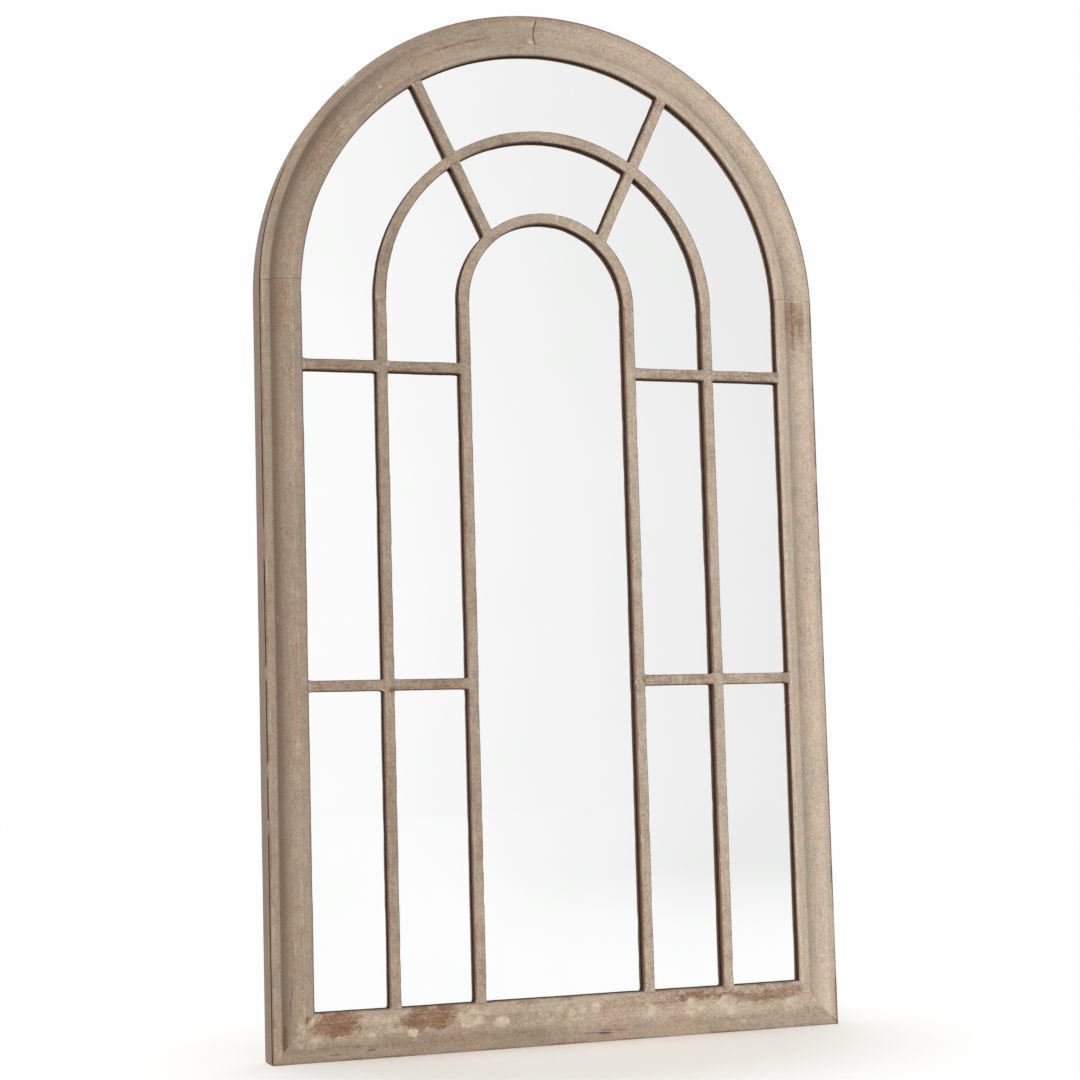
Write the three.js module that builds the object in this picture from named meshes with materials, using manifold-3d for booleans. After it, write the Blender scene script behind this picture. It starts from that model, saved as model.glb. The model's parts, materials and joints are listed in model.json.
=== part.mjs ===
import * as THREE from 'three';
import { mergeVertices } from 'three/addons/utils/BufferGeometryUtils.js';
import Module from 'manifold-3d';

// Arched window mirror with a moulded wooden frame and a window lattice over one sheet of mirror.
// Millimetres, +Z up. The front faces -Y and the back, with its two hangers, faces +Y.
// The origin is the middle of the bottom rail's underside.

// Frame
const overallWidth = 800;
const springingHeight = 1005; // from the floor to the centre of the frame's arch
const frameDepth = 48;
const stileFace = 56; // width of the stiles and the arch, seen from the front
const railFace = 63; // width of the bottom rail, seen from the front
const stileJointRise = 14; // from the springing up to where the arch members stand on the stiles
const crownJointX = -8; // where the two arch members meet

// Moulding worked on the front of every frame member
const sightArris = 3.6; // rounding at the opening
const filletWidth = 10.4; // flat band between the rounding and the cove
const outerBandWidth = 11.3; // flat band outside the cove
const outerArris = 4; // rounding at the outside
const coveDepth = 5;
const lipDepth = 9.8; // wood in front of the mirror sheet

// Rebates behind the opening
const glassThickness = 4;
const glassRebate = 8; // how far the mirror sheet reaches behind the frame's lip
const boardThickness = 3;
const boardRebate = 20; // how far the backing board's rebate reaches behind the frame
const sheetClearance = 1.5; // around the mirror sheet
const boardClearance = 1; // around the backing board

// Bent strip round the outside of the stiles and the arch
const bandThickness = 3;
const bandSetback = 8; // from the front of the frame to the strip's front edge
const bandJointDrop = 145; // from the springing down to the joints with the two straight strips
const bandFootGap = 1; // keeps the straight strips off the floor

// Lattice
const legWidth = 15; // legs, arches and slanting bars
const crossBarWidth = 15;
const barThickness = 8.5;
const barArris = 1.2;
const outerPaneWidth = 100.5; // between the frame and the middle legs
const innerPaneWidth = 101.5; // between the middle and the inner legs
const middleArchDrop = 6.5; // from the centre of the frame's arch down to this arch's centre
const innerArchDrop = 5; // the same for the inner arch
const innerArchJointX = 17;
const upperBarDrop = 97.4; // from the springing down to the upper row of cross bars
const lowerBarRise = 419.5; // from the bottom rail up to the lower row of cross bars
const slantOuterAngle = 58.5; // degrees above the horizontal, where a slanting bar meets the frame
const slantInnerAngle = 49; // degrees, where it meets the inner arch

// Dowels in the frame's joints
const dowelDiameter = 8;
const dowelLength = 30;
const dowelChamfer = 1;
const dowelClearance = 0.15;
const mitreDowelShare = 0.6; // place of the mitre dowel between the inner and outer corner

// Screws through the backing board
const boardScrewLength = 12;
const boardScrewDiameter = 3;
const boardScrewHeadDiameter = 7;
const boardScrewHeadHeight = 2;
const stileScrewCount = 3; // down each stile, evenly spaced
const stileScrewFoot = 190; // height of the lowest
const stileScrewDrop = 75; // from the springing down to the highest
const railScrewX = 180;
const archScrewAngles = [28, 66];

// Strap hangers with D-rings, one on the back of each stile
const hangerDrop = 79; // from the top of the stile down to the D-ring's hinge
const strapThickness = 2; // two layers of sheet steel
const strapWidth = 15;
const strapLoopWidth = 12;
const strapLength = 46; // below the hinge
const strapWall = 0.9; // sheet round the D-ring's wire
const ringWireDiameter = 3;
const ringRunningClearance = 0.2;
const ringInnerWidth = 18;
const ringReach = 15; // from the hinge to the middle of the wire at the bottom of the ring
const ringCornerRadius = 3;
const ringWireGap = 1; // between the wire's two ends, inside the strap's loop
const ringRestGap = 0.3;
const strapScrewDrops = [22, 36]; // below the hinge
const strapScrewLength = 16;
const strapScrewDiameter = 3.5;
const strapScrewHeadDiameter = 7;
const strapScrewHeadHeight = 2;

// Shares of a screw head: where its side starts to round over, and how wide its flat top is
const headShoulder = 0.6;
const headFlat = 0.6;

// Fits and facets
const glueLine = 0.1;
const screwClearance = 0.2;
const ringFacets = 128; // facets in a full turn of an arch
const boreFacets = 12;
const sawReach = 2000; // half the edge of a block that saws a piece to length

// Worked out from the sizes above
const halfWidth = overallWidth / 2;
const sightHalf = halfWidth - stileFace;
const frontY = -frameDepth / 2;
const backY = frameDepth / 2;
const boardSeatDepth = lipDepth + glassThickness;
const bandSeat = stileFace - bandThickness;
const stileJointHeight = springingHeight + stileJointRise;
const hangerHeight = stileJointHeight - hangerDrop;
const bandJointHeight = springingHeight - bandJointDrop;
const middleArchRadius = sightHalf - outerPaneWidth - legWidth / 2;
const innerArchRadius = middleArchRadius - innerPaneWidth - legWidth;
const upperBarHeight = springingHeight - upperBarDrop;
const lowerBarHeight = railFace + lowerBarRise;
const middleSpringing = springingHeight - middleArchDrop;
const innerSpringing = springingHeight - innerArchDrop;
const dowelDepth = (boardSeatDepth + frameDepth) / 2;
const boardScrewInset = (glassRebate + boardRebate) / 2;
const hangerX = sightHalf + (boardRebate + bandSeat) / 2;
const ringWireRadius = ringWireDiameter / 2;
const loopBore = ringWireRadius + ringRunningClearance;
const loopRadius = loopBore + strapWall;
const degrees = Math.PI / 180;

// ---------------------------------------------------------------- materials

function finish(color, roughness, metalness) {
  return new THREE.MeshStandardMaterial({ color, roughness, metalness });
}

const limedFrame = finish('#a3917f', 0.75, 0);
const limedBar = finish('#a38b75', 0.75, 0);
const limedBand = finish('#97867a', 0.8, 0);
const mirrorSilver = finish('#eef0ef', 0.03, 1);
const hardboard = finish('#7a5a3d', 0.85, 0);
const beech = finish('#c9a27a', 0.7, 0);
const zincSteel = finish('#b5b8b8', 0.35, 1);

// ---------------------------------------------------------------- solids

const manifold = await Module();
manifold.setup();

// A closed three.js geometry as a solid that can be joined and cut.
function solidOf(geometry) {
  const bare = geometry.clone();
  bare.deleteAttribute('normal');
  bare.deleteAttribute('uv');
  const welded = mergeVertices(bare, 1e-4);
  const mesh = new manifold.Mesh({
    numProp: 3,
    vertProperties: new Float32Array(welded.attributes.position.array),
    triVerts: new Uint32Array(welded.index.array),
  });
  return new manifold.Manifold(mesh);
}

function geometryOf(solid) {
  const mesh = solid.getMesh();
  const geometry = new THREE.BufferGeometry();
  geometry.setAttribute('position', new THREE.BufferAttribute(mesh.vertProperties, 3));
  geometry.setIndex(new THREE.BufferAttribute(mesh.triVerts, 1));
  geometry.computeVertexNormals();
  return geometry;
}

// A block between two corners, which saws a piece to length.
function block(x0, x1, y0, y1, z0, z1) {
  const box = new THREE.BoxGeometry(x1 - x0, y1 - y0, z1 - z0);
  box.translate((x0 + x1) / 2, (y0 + y1) / 2, (z0 + z1) / 2);
  return solidOf(box);
}

function sawn(solid, { left = -sawReach, right = sawReach, bottom = -sawReach, top = sawReach }) {
  return solid.intersect(block(left, right, -sawReach, sawReach, bottom, top));
}

// A round bore or disc along Y, with its facets in step with those of the arches.
function discY(radius, y0, y1, x, z, facets) {
  const disc = new THREE.CylinderGeometry(radius, radius, y1 - y0, facets);
  disc.translate(x, (y0 + y1) / 2, z);
  return solidOf(disc);
}

// The radius of a faceted bore that clears a round shank.
function boreRadius(shankDiameter, clearance) {
  return (shankDiameter / 2 + clearance) / Math.cos(Math.PI / boreFacets);
}

function arcPoints(x, y, radius, from, to, steps) {
  return Array.from({ length: steps + 1 }, (_, i) => {
    const angle = from + ((to - from) * i) / steps;
    return new THREE.Vector2(x + radius * Math.cos(angle), y + radius * Math.sin(angle));
  });
}

// ---------------------------------------------------------------- sections

// Section of a frame member: x runs outwards from the opening, y runs back from the front.
// The front is a rounded sight edge, a fillet, a hollow cove, a flat band and a rounded outer edge.
// Behind the lip are the rebates of the mirror sheet and of the backing board.
function mouldingSection(face, outerRebate) {
  const stretch = face / stileFace;
  const coveStart = (sightArris + filletWidth) * stretch;
  const coveEnd = face - outerBandWidth * stretch;
  const coveHalf = (coveEnd - coveStart) / 2;
  const coveRadius = (coveHalf ** 2 + coveDepth ** 2) / (2 * coveDepth);
  const coveSlope = Math.asin(coveHalf / coveRadius);
  const coveMiddle = (coveStart + coveEnd) / 2;
  const quarter = Math.PI / 2;
  const front = [
    ...arcPoints(sightArris, sightArris, sightArris, 2 * quarter, 3 * quarter, 4),
    ...arcPoints(coveMiddle, coveDepth - coveRadius, coveRadius, quarter + coveSlope, quarter - coveSlope, 9),
    ...arcPoints(face - outerArris, outerArris, outerArris, -quarter, 0, 4),
  ];
  const outside = [
    new THREE.Vector2(face, bandSetback - glueLine),
    new THREE.Vector2(face - outerRebate, bandSetback - glueLine),
  ];
  const back = [
    new THREE.Vector2(face - outerRebate, frameDepth),
    new THREE.Vector2(boardRebate, frameDepth),
    new THREE.Vector2(boardRebate, boardSeatDepth),
    new THREE.Vector2(glassRebate, boardSeatDepth),
    new THREE.Vector2(glassRebate, lipDepth),
    new THREE.Vector2(0, lipDepth),
  ];
  return [...front, ...(outerRebate > 0 ? outside : []), ...back];
}

// Section of the bent strip, in the same coordinates.
function bandSection() {
  return [
    new THREE.Vector2(bandSeat + glueLine, bandSetback),
    new THREE.Vector2(stileFace, bandSetback),
    new THREE.Vector2(stileFace, frameDepth),
    new THREE.Vector2(bandSeat + glueLine, frameDepth),
  ];
}

// Section of a lattice bar: x runs across it from its middle, y runs back from the front.
function barSection(width) {
  const half = width / 2;
  const front = lipDepth - barThickness;
  const quarter = Math.PI / 2;
  return [
    ...arcPoints(-half + barArris, front + barArris, barArris, 2 * quarter, 3 * quarter, 2),
    ...arcPoints(half - barArris, front + barArris, barArris, -quarter, 0, 2),
    new THREE.Vector2(half, lipDepth),
    new THREE.Vector2(-half, lipDepth),
  ];
}

// ---------------------------------------------------------------- runs of a section

// A section run straight up from one height to another, with the section's x = 0 at offset.
function straightRun(section, offset, side, bottom, top) {
  const outline = new THREE.Shape(
    section.map((p) => new THREE.Vector2(side * (offset + p.x), frontY + p.y)),
  );
  const run = new THREE.ExtrudeGeometry(outline, { depth: top - bottom, bevelEnabled: false });
  run.translate(0, 0, bottom);
  return solidOf(run);
}

// A section run round a half circle that stands on two straight legs.
function archedRun(section, radius, springing, bottom) {
  const closed = [...section, section[0]].map((p) => new THREE.Vector2(radius + p.x, frontY + p.y));
  const ring = new THREE.LatheGeometry(closed, ringFacets);
  ring.translate(0, 0, springing);
  const legs = [-1, 1].map((side) => straightRun(section, radius, side, bottom, springing));
  return sawn(solidOf(ring), { bottom: springing }).add(legs[0]).add(legs[1]);
}

// A section run level along X, with the section's x pointing up from a height.
function levelRun(section, height, direction, left, right) {
  const outline = new THREE.Shape(
    section.map((p) => new THREE.Vector2(frontY + p.y, height + direction * p.x)),
  );
  const run = new THREE.ExtrudeGeometry(outline, { depth: right - left, bevelEnabled: false });
  const along = new THREE.Matrix4().makeBasis(
    new THREE.Vector3(0, 1, 0),
    new THREE.Vector3(0, 0, 1),
    new THREE.Vector3(1, 0, 0),
  );
  run.applyMatrix4(along);
  run.translate(left, 0, 0);
  return solidOf(run);
}

// An outline drawn on the front, given a thickness towards the back from a depth behind the front.
function platedOutline(outline, depth, thickness, curveSegments = 12) {
  const plate = new THREE.ExtrudeGeometry(outline, {
    depth: thickness,
    bevelEnabled: false,
    curveSegments,
  });
  plate.rotateX(Math.PI / 2);
  plate.translate(0, frontY + depth + thickness, 0);
  return solidOf(plate);
}

// ---------------------------------------------------------------- frame

// Everything between the two mitre faces, seen from the front; ease moves both faces outwards.
function mitrePrism(ease) {
  const lean = (halfWidth - sightHalf) / railFace;
  const over = glassRebate;
  const low = halfWidth + ease + over * lean;
  const high = sightHalf + ease - over * lean;
  const outline = new THREE.Shape([
    new THREE.Vector2(-low, -over),
    new THREE.Vector2(low, -over),
    new THREE.Vector2(high, railFace + over),
    new THREE.Vector2(-high, railFace + over),
  ]);
  return platedOutline(outline, -frameDepth, 3 * frameDepth);
}

// Dowels, each with a place, the direction of its length, and the members that it joins.
function frameDowels() {
  const backWood = bandSeat - boardRebate;
  const insets = [boardRebate + backWood / 3, boardRebate + (2 * backWood) / 3];
  const y = frontY + dowelDepth;
  const up = new THREE.Vector3(0, 0, 1);
  const across = new THREE.Vector3(1, 0, 0);
  const dowels = insets.map((inset, i) => ({
    name: `crown_dowel_${i + 1}`,
    at: new THREE.Vector3(crownJointX, y, springingHeight + sightHalf + inset),
    along: across,
    joins: ['arch_left', 'arch_right'],
  }));
  for (const [word, side] of [['left', -1], ['right', 1]]) {
    insets.forEach((inset, i) => {
      dowels.push({
        name: `springing_dowel_${word}_${i + 1}`,
        at: new THREE.Vector3(side * (sightHalf + inset), y, stileJointHeight),
        along: up,
        joins: [`stile_${word}`, `arch_${word}`],
      });
    });
    dowels.push({
      name: `mitre_dowel_${word}`,
      at: new THREE.Vector3(
        side * (sightHalf + mitreDowelShare * stileFace),
        y,
        railFace * (1 - mitreDowelShare),
      ),
      along: new THREE.Vector3(side * railFace, 0, stileFace).normalize(),
      joins: [`stile_${word}`, 'bottom_rail'],
    });
  }
  return dowels;
}

function dowelBore({ at, along }) {
  const radius = boreRadius(dowelDiameter, dowelClearance);
  const bore = new THREE.CylinderGeometry(radius, radius, dowelLength + 2 * dowelChamfer, boreFacets);
  bore.applyQuaternion(new THREE.Quaternion().setFromUnitVectors(new THREE.Vector3(0, 1, 0), along));
  bore.translate(at.x, at.y, at.z);
  return solidOf(bore);
}

// A fluted dowel is drawn as a plain one with chamfered ends.
function dowelGeometry() {
  const radius = dowelDiameter / 2;
  const half = dowelLength / 2;
  const profile = [
    new THREE.Vector2(0, -half),
    new THREE.Vector2(radius - dowelChamfer, -half),
    new THREE.Vector2(radius, -half + dowelChamfer),
    new THREE.Vector2(radius, half - dowelChamfer),
    new THREE.Vector2(radius - dowelChamfer, half),
    new THREE.Vector2(0, half),
  ];
  return new THREE.LatheGeometry(profile, boreFacets);
}

// The five members before any bore: the arched moulding is sawn into stiles and arch quarters.
function frameMembers() {
  const arched = archedRun(mouldingSection(stileFace, bandThickness), sightHalf, springingHeight, 0);
  const stiles = sawn(arched, { top: stileJointHeight }).subtract(mitrePrism(glueLine / 2));
  const arch = sawn(arched, { bottom: stileJointHeight });
  const bandY = frontY + bandSetback - glueLine;
  const bandX = halfWidth - bandThickness;
  const rail = levelRun(mouldingSection(railFace, 0), railFace, -1, -halfWidth, halfWidth)
    .intersect(mitrePrism(-glueLine / 2))
    .subtract(block(-sawReach, -bandX, bandY, sawReach, -sawReach, sawReach))
    .subtract(block(bandX, sawReach, bandY, sawReach, -sawReach, sawReach));
  return {
    stile_left: sawn(stiles, { right: 0 }),
    stile_right: sawn(stiles, { left: 0 }),
    bottom_rail: rail,
    arch_left: sawn(arch, { right: crownJointX }),
    arch_right: sawn(arch, { left: crownJointX }),
  };
}

// ---------------------------------------------------------------- outer strip

function outerStrips() {
  const bent = archedRun(bandSection(), sightHalf, springingHeight, bandJointHeight);
  const straight = (side) => straightRun(bandSection(), sightHalf, side, bandFootGap, bandJointHeight);
  return {
    edge_band_arch: bent,
    edge_band_left: straight(-1),
    edge_band_right: straight(1),
  };
}

// ---------------------------------------------------------------- lattice

function latticeArch(word, radius, springing, jointX) {
  const run = archedRun(barSection(legWidth), radius, springing, railFace);
  const arch = sawn(run, { bottom: springing });
  const legs = sawn(run, { top: springing });
  return {
    [`${word}_arch_left`]: sawn(arch, { right: jointX }),
    [`${word}_arch_right`]: sawn(arch, { left: jointX }),
    [`${word}_leg_left`]: sawn(legs, { right: 0 }),
    [`${word}_leg_right`]: sawn(legs, { left: 0 }),
  };
}

// Two level rows of short bars, none of them across the middle pane.
function crossBars() {
  const half = legWidth / 2;
  const spans = {
    outer: [middleArchRadius + half, sightHalf],
    inner: [innerArchRadius + half, middleArchRadius - half],
  };
  const bars = {};
  for (const [row, height] of [['upper', upperBarHeight], ['lower', lowerBarHeight]]) {
    for (const [place, [near, far]] of Object.entries(spans)) {
      const bar = (left, right) => levelRun(barSection(crossBarWidth), height, 1, left, right);
      bars[`${row}_bar_${place}_left`] = bar(-far, -near);
      bars[`${row}_bar_${place}_right`] = bar(near, far);
    }
  }
  return bars;
}

// A straight bar from the frame's arch to the inner arch, cut through by the middle arch.
function slantingBars() {
  const half = legWidth / 2;
  const disc = (radius, centreHeight) => discY(radius, -frameDepth, frameDepth, 0, centreHeight, ringFacets);
  const insideFrame = disc(sightHalf - glueLine, springingHeight);
  const outsideMiddle = disc(middleArchRadius + half + glueLine, middleSpringing);
  const insideMiddle = disc(middleArchRadius - half - glueLine, middleSpringing);
  const outsideInner = disc(innerArchRadius + half + glueLine, innerSpringing);
  const bars = {};
  for (const [word, side] of [['left', -1], ['right', 1]]) {
    const outer = new THREE.Vector3(
      side * sightHalf * Math.cos(slantOuterAngle * degrees),
      0,
      springingHeight + sightHalf * Math.sin(slantOuterAngle * degrees),
    );
    const inner = new THREE.Vector3(
      side * (innerArchRadius + half) * Math.cos(slantInnerAngle * degrees),
      0,
      innerSpringing + (innerArchRadius + half) * Math.sin(slantInnerAngle * degrees),
    );
    const over = 2 * legWidth;
    const length = outer.distanceTo(inner) + 2 * over;
    const outline = new THREE.Shape(barSection(legWidth).map((p) => new THREE.Vector2(p.x, frontY + p.y)));
    const geometry = new THREE.ExtrudeGeometry(outline, { depth: length, bevelEnabled: false });
    geometry.translate(0, 0, -over);
    geometry.rotateY(Math.atan2(outer.x - inner.x, outer.z - inner.z));
    geometry.translate(inner.x, 0, inner.z);
    const whole = solidOf(geometry);
    bars[`slant_bar_outer_${word}`] = whole.intersect(insideFrame).subtract(outsideMiddle);
    bars[`slant_bar_inner_${word}`] = whole.intersect(insideMiddle).subtract(outsideInner);
  }
  return bars;
}

// ---------------------------------------------------------------- mirror sheet and backing board

function archedSheet(reach, depth, thickness) {
  const half = sightHalf + reach;
  const outline = new THREE.Shape();
  outline.moveTo(-half, railFace - reach);
  outline.lineTo(half, railFace - reach);
  outline.lineTo(half, springingHeight);
  outline.absarc(0, springingHeight, half, 0, Math.PI, false);
  return platedOutline(outline, depth, thickness, ringFacets / 4);
}

// Where the board screws stand, round the ledge of the frame.
function boardScrewPlaces() {
  const radius = sightHalf + boardScrewInset;
  const stileSpan = springingHeight - stileScrewDrop - stileScrewFoot;
  const places = [];
  for (const side of [-1, 1]) {
    places.push([side * railScrewX, railFace - boardScrewInset]);
    for (let i = 0; i < stileScrewCount; i += 1) {
      places.push([side * radius, stileScrewFoot + (stileSpan * i) / (stileScrewCount - 1)]);
    }
    for (const angle of archScrewAngles) {
      const x = side * radius * Math.cos(angle * degrees);
      places.push([x, springingHeight + radius * Math.sin(angle * degrees)]);
    }
  }
  return places.map(([x, z], i) => ({ name: `board_screw_${String(i + 1).padStart(2, '0')}`, x, z }));
}

// ---------------------------------------------------------------- screws

// A pan-head screw along Y, head towards +Y, with the underside of its head at y = 0.
function screwGeometry(length, diameter, headDiameter, headHeight) {
  const shank = diameter / 2;
  const head = headDiameter / 2;
  const profile = [
    new THREE.Vector2(0, -length),
    new THREE.Vector2(shank, -length + diameter),
    new THREE.Vector2(shank, 0),
    new THREE.Vector2(head, 0),
    new THREE.Vector2(head, headHeight * headShoulder),
    new THREE.Vector2(head * headFlat, headHeight),
    new THREE.Vector2(0, headHeight),
  ];
  return new THREE.LatheGeometry(profile, boreFacets);
}

// A bore for a screw that is driven from the back, whose tip reaches to tipY.
function screwBore(x, z, diameter, tipY) {
  return discY(boreRadius(diameter, screwClearance), tipY - diameter, sawReach, x, z, boreFacets);
}

// ---------------------------------------------------------------- hangers

const hingeY = backY + loopRadius;

// The strap: a folded steel plate against the wood, rolled round the D-ring's wire at its top.
function strapSolid(side) {
  const x = side * hangerX;
  const lower = Math.asin((loopRadius - strapThickness) / loopRadius);
  const profile = new THREE.Shape([
    new THREE.Vector2(0, -strapLength),
    new THREE.Vector2(strapThickness, -strapLength),
    ...arcPoints(loopRadius, 0, loopRadius, -Math.PI / 2 - lower, Math.PI, 14),
  ]);
  profile.holes.push(new THREE.Path(arcPoints(loopRadius, 0, loopBore, 0, 2 * Math.PI, boreFacets).slice(1)));
  const folded = new THREE.ExtrudeGeometry(profile, { depth: strapWidth, bevelEnabled: false });
  const along = new THREE.Matrix4().makeBasis(
    new THREE.Vector3(0, 1, 0),
    new THREE.Vector3(0, 0, 1),
    new THREE.Vector3(1, 0, 0),
  );
  folded.applyMatrix4(along);
  folded.translate(x - strapWidth / 2, backY, hangerHeight);
  const half = strapWidth / 2;
  const loopHalf = strapLoopWidth / 2;
  const shoulder = -2 * loopRadius;
  const foot = -strapLength + half;
  const outline = new THREE.Shape();
  outline.moveTo(loopHalf, 2 * loopRadius);
  outline.lineTo(-loopHalf, 2 * loopRadius);
  outline.lineTo(-loopHalf, shoulder);
  outline.lineTo(-half, shoulder - (half - loopHalf));
  outline.lineTo(-half, foot);
  outline.absarc(0, foot, half, Math.PI, 2 * Math.PI, false);
  outline.lineTo(half, shoulder - (half - loopHalf));
  outline.lineTo(loopHalf, shoulder);
  const plate = platedOutline(outline, frameDepth - loopRadius, 4 * loopRadius);
  const face = plate.translate([x, 0, hangerHeight]);
  const bores = strapScrewDrops.map((drop) =>
    discY(
      boreRadius(strapScrewDiameter, screwClearance), 0, sawReach, x, hangerHeight - drop, boreFacets,
    ));
  return bores.reduce((strap, bore) => strap.subtract(bore), solidOf(folded).intersect(face));
}

// A quarter turn of a wire's line from a to b, round the corner where its two ends' directions meet.
function quarterTurn(a, corner, b) {
  const handle = (4 / 3) * (Math.SQRT2 - 1);
  return new THREE.CubicBezierCurve3(a, a.clone().lerp(corner, handle), b.clone().lerp(corner, handle), b);
}

// The D-ring's wire: a straight bar through the strap's loop, two short sides and a half circle.
function ringPath() {
  const side = (ringInnerWidth + ringWireDiameter) / 2;
  const sideEnd = ringReach - side;
  const corner = Math.min(ringCornerRadius, sideEnd - ringWireRadius);
  const end = ringWireGap / 2;
  const at = (x, z) => new THREE.Vector3(x, 0, -z);
  const path = new THREE.CurvePath();
  path.add(new THREE.LineCurve3(at(end, 0), at(side - corner, 0)));
  path.add(quarterTurn(at(side - corner, 0), at(side, 0), at(side, corner)));
  path.add(new THREE.LineCurve3(at(side, corner), at(side, sideEnd)));
  path.add(quarterTurn(at(side, sideEnd), at(side, ringReach), at(0, ringReach)));
  path.add(quarterTurn(at(0, ringReach), at(-side, ringReach), at(-side, sideEnd)));
  path.add(new THREE.LineCurve3(at(-side, sideEnd), at(-side, corner)));
  path.add(quarterTurn(at(-side, corner), at(-side, 0), at(-side + corner, 0)));
  path.add(new THREE.LineCurve3(at(-side + corner, 0), at(-end, 0)));
  return path;
}

function ringGeometry() {
  const path = ringPath();
  const wire = new THREE.Shape(arcPoints(0, 0, ringWireRadius, 0, 2 * Math.PI, 8).slice(1));
  return new THREE.ExtrudeGeometry(wire, {
    steps: Math.round(path.getLength() / ringWireRadius),
    extrudePath: path,
    bevelEnabled: false,
  });
}

// The D-ring hangs down and rests on the strap's face, so it leans out a little.
function ringLean() {
  const standOff = strapThickness + ringWireRadius + ringRestGap - loopRadius;
  return Math.asin(standOff / ringReach);
}

// ---------------------------------------------------------------- assembly

const mirror = new THREE.Group();

function addPiece(name, geometry, material, at = new THREE.Vector3()) {
  const mesh = new THREE.Mesh(geometry, material.clone());
  mesh.name = name;
  mesh.position.copy(at);
  mirror.add(mesh);
  return mesh;
}

function addPieces(solids, material) {
  for (const [name, solid] of Object.entries(solids)) {
    addPiece(name, geometryOf(solid), material);
  }
}

const members = frameMembers();
const dowels = frameDowels();
for (const dowel of dowels) {
  const bore = dowelBore(dowel);
  for (const member of dowel.joins) {
    members[member] = members[member].subtract(bore);
  }
  const peg = addPiece(dowel.name, dowelGeometry(), beech, dowel.at);
  peg.quaternion.setFromUnitVectors(new THREE.Vector3(0, 1, 0), dowel.along);
}

let board = archedSheet(boardRebate - boardClearance, boardSeatDepth, boardThickness);
const boardBackY = frontY + boardSeatDepth + boardThickness;
for (const { name, x, z } of boardScrewPlaces()) {
  const bore = screwBore(x, z, boardScrewDiameter, boardBackY - boardScrewLength);
  board = board.subtract(bore);
  for (const member of Object.keys(members)) {
    members[member] = members[member].subtract(bore);
  }
  const screw = screwGeometry(
    boardScrewLength, boardScrewDiameter, boardScrewHeadDiameter, boardScrewHeadHeight,
  );
  addPiece(name, screw, zincSteel, new THREE.Vector3(x, boardBackY, z));
}

for (const [word, side] of [['left', -1], ['right', 1]]) {
  const x = side * hangerX;
  strapScrewDrops.forEach((drop, i) => {
    const z = hangerHeight - drop;
    const seatY = backY + strapThickness;
    const bore = screwBore(x, z, strapScrewDiameter, seatY - strapScrewLength);
    members[`stile_${word}`] = members[`stile_${word}`].subtract(bore);
    const screw = screwGeometry(
      strapScrewLength, strapScrewDiameter, strapScrewHeadDiameter, strapScrewHeadHeight,
    );
    addPiece(`strap_screw_${word}_${i + 1}`, screw, zincSteel, new THREE.Vector3(x, seatY, z));
  });
  addPiece(`hanger_strap_${word}`, geometryOf(strapSolid(side)), zincSteel);
  const ring = addPiece(
    `hanger_ring_${word}`, ringGeometry(), zincSteel, new THREE.Vector3(x, hingeY, hangerHeight),
  );
  ring.rotation.x = ringLean();
}

addPieces(members, limedFrame);
addPieces(outerStrips(), limedBand);
addPieces(latticeArch('middle', middleArchRadius, middleSpringing, 0), limedBar);
addPieces(latticeArch('inner', innerArchRadius, innerSpringing, innerArchJointX), limedBar);
addPieces(slantingBars(), limedBar);
addPieces(crossBars(), limedBar);
const sheet = archedSheet(glassRebate - sheetClearance, lipDepth, glassThickness);
addPiece('mirror_sheet', geometryOf(sheet), mirrorSilver);
addPiece('backing_board', geometryOf(board), hardboard);

export default mirror;
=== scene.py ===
"""Arched window mirror: a moulded pine frame, lime-washed, with a window lattice on one mirror sheet."""
import json
import math

import bmesh
import bpy
import numpy as np
from mathutils import Matrix, Vector


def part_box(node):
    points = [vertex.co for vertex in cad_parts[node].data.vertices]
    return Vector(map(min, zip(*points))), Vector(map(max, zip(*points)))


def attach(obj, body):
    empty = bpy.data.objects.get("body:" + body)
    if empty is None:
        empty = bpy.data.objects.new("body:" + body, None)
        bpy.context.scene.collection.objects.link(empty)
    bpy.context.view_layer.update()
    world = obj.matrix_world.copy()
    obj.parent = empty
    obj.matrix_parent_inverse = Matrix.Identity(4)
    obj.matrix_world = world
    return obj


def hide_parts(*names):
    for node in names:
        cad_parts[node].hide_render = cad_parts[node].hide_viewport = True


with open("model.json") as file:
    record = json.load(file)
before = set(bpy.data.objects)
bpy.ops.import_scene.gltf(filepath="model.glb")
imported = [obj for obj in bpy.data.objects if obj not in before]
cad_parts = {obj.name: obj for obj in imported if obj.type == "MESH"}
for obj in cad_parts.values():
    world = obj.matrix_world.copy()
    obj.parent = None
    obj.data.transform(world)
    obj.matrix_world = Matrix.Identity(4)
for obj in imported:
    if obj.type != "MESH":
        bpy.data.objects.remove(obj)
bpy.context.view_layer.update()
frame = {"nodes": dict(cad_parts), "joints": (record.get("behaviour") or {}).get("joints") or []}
MM = 0.001

# ------------------------------------------------------------------------------------------------
# The photograph's view: a long lens a little left of the middle, at about a third of the height.
# The camera looks up by five degrees and leans a degree and a half.
# ------------------------------------------------------------------------------------------------

CAMERA_PLACE = Vector((-1.0240, -2.8818, 0.4043))
CAMERA_YAW = math.radians(19.339)
CAMERA_PITCH = math.radians(5.103)
CAMERA_ROLL = math.radians(1.584)
PHOTO_SIDE = 1080
FOCAL_PIXELS = 2243.7
SENSOR_MM = 36.0

CLIP_END = 60


def in_scene(name, data):
    """A new object with the given data, linked to the scene."""
    made = bpy.data.objects.new(name, data)
    bpy.context.scene.collection.objects.link(made)
    return made


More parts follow.
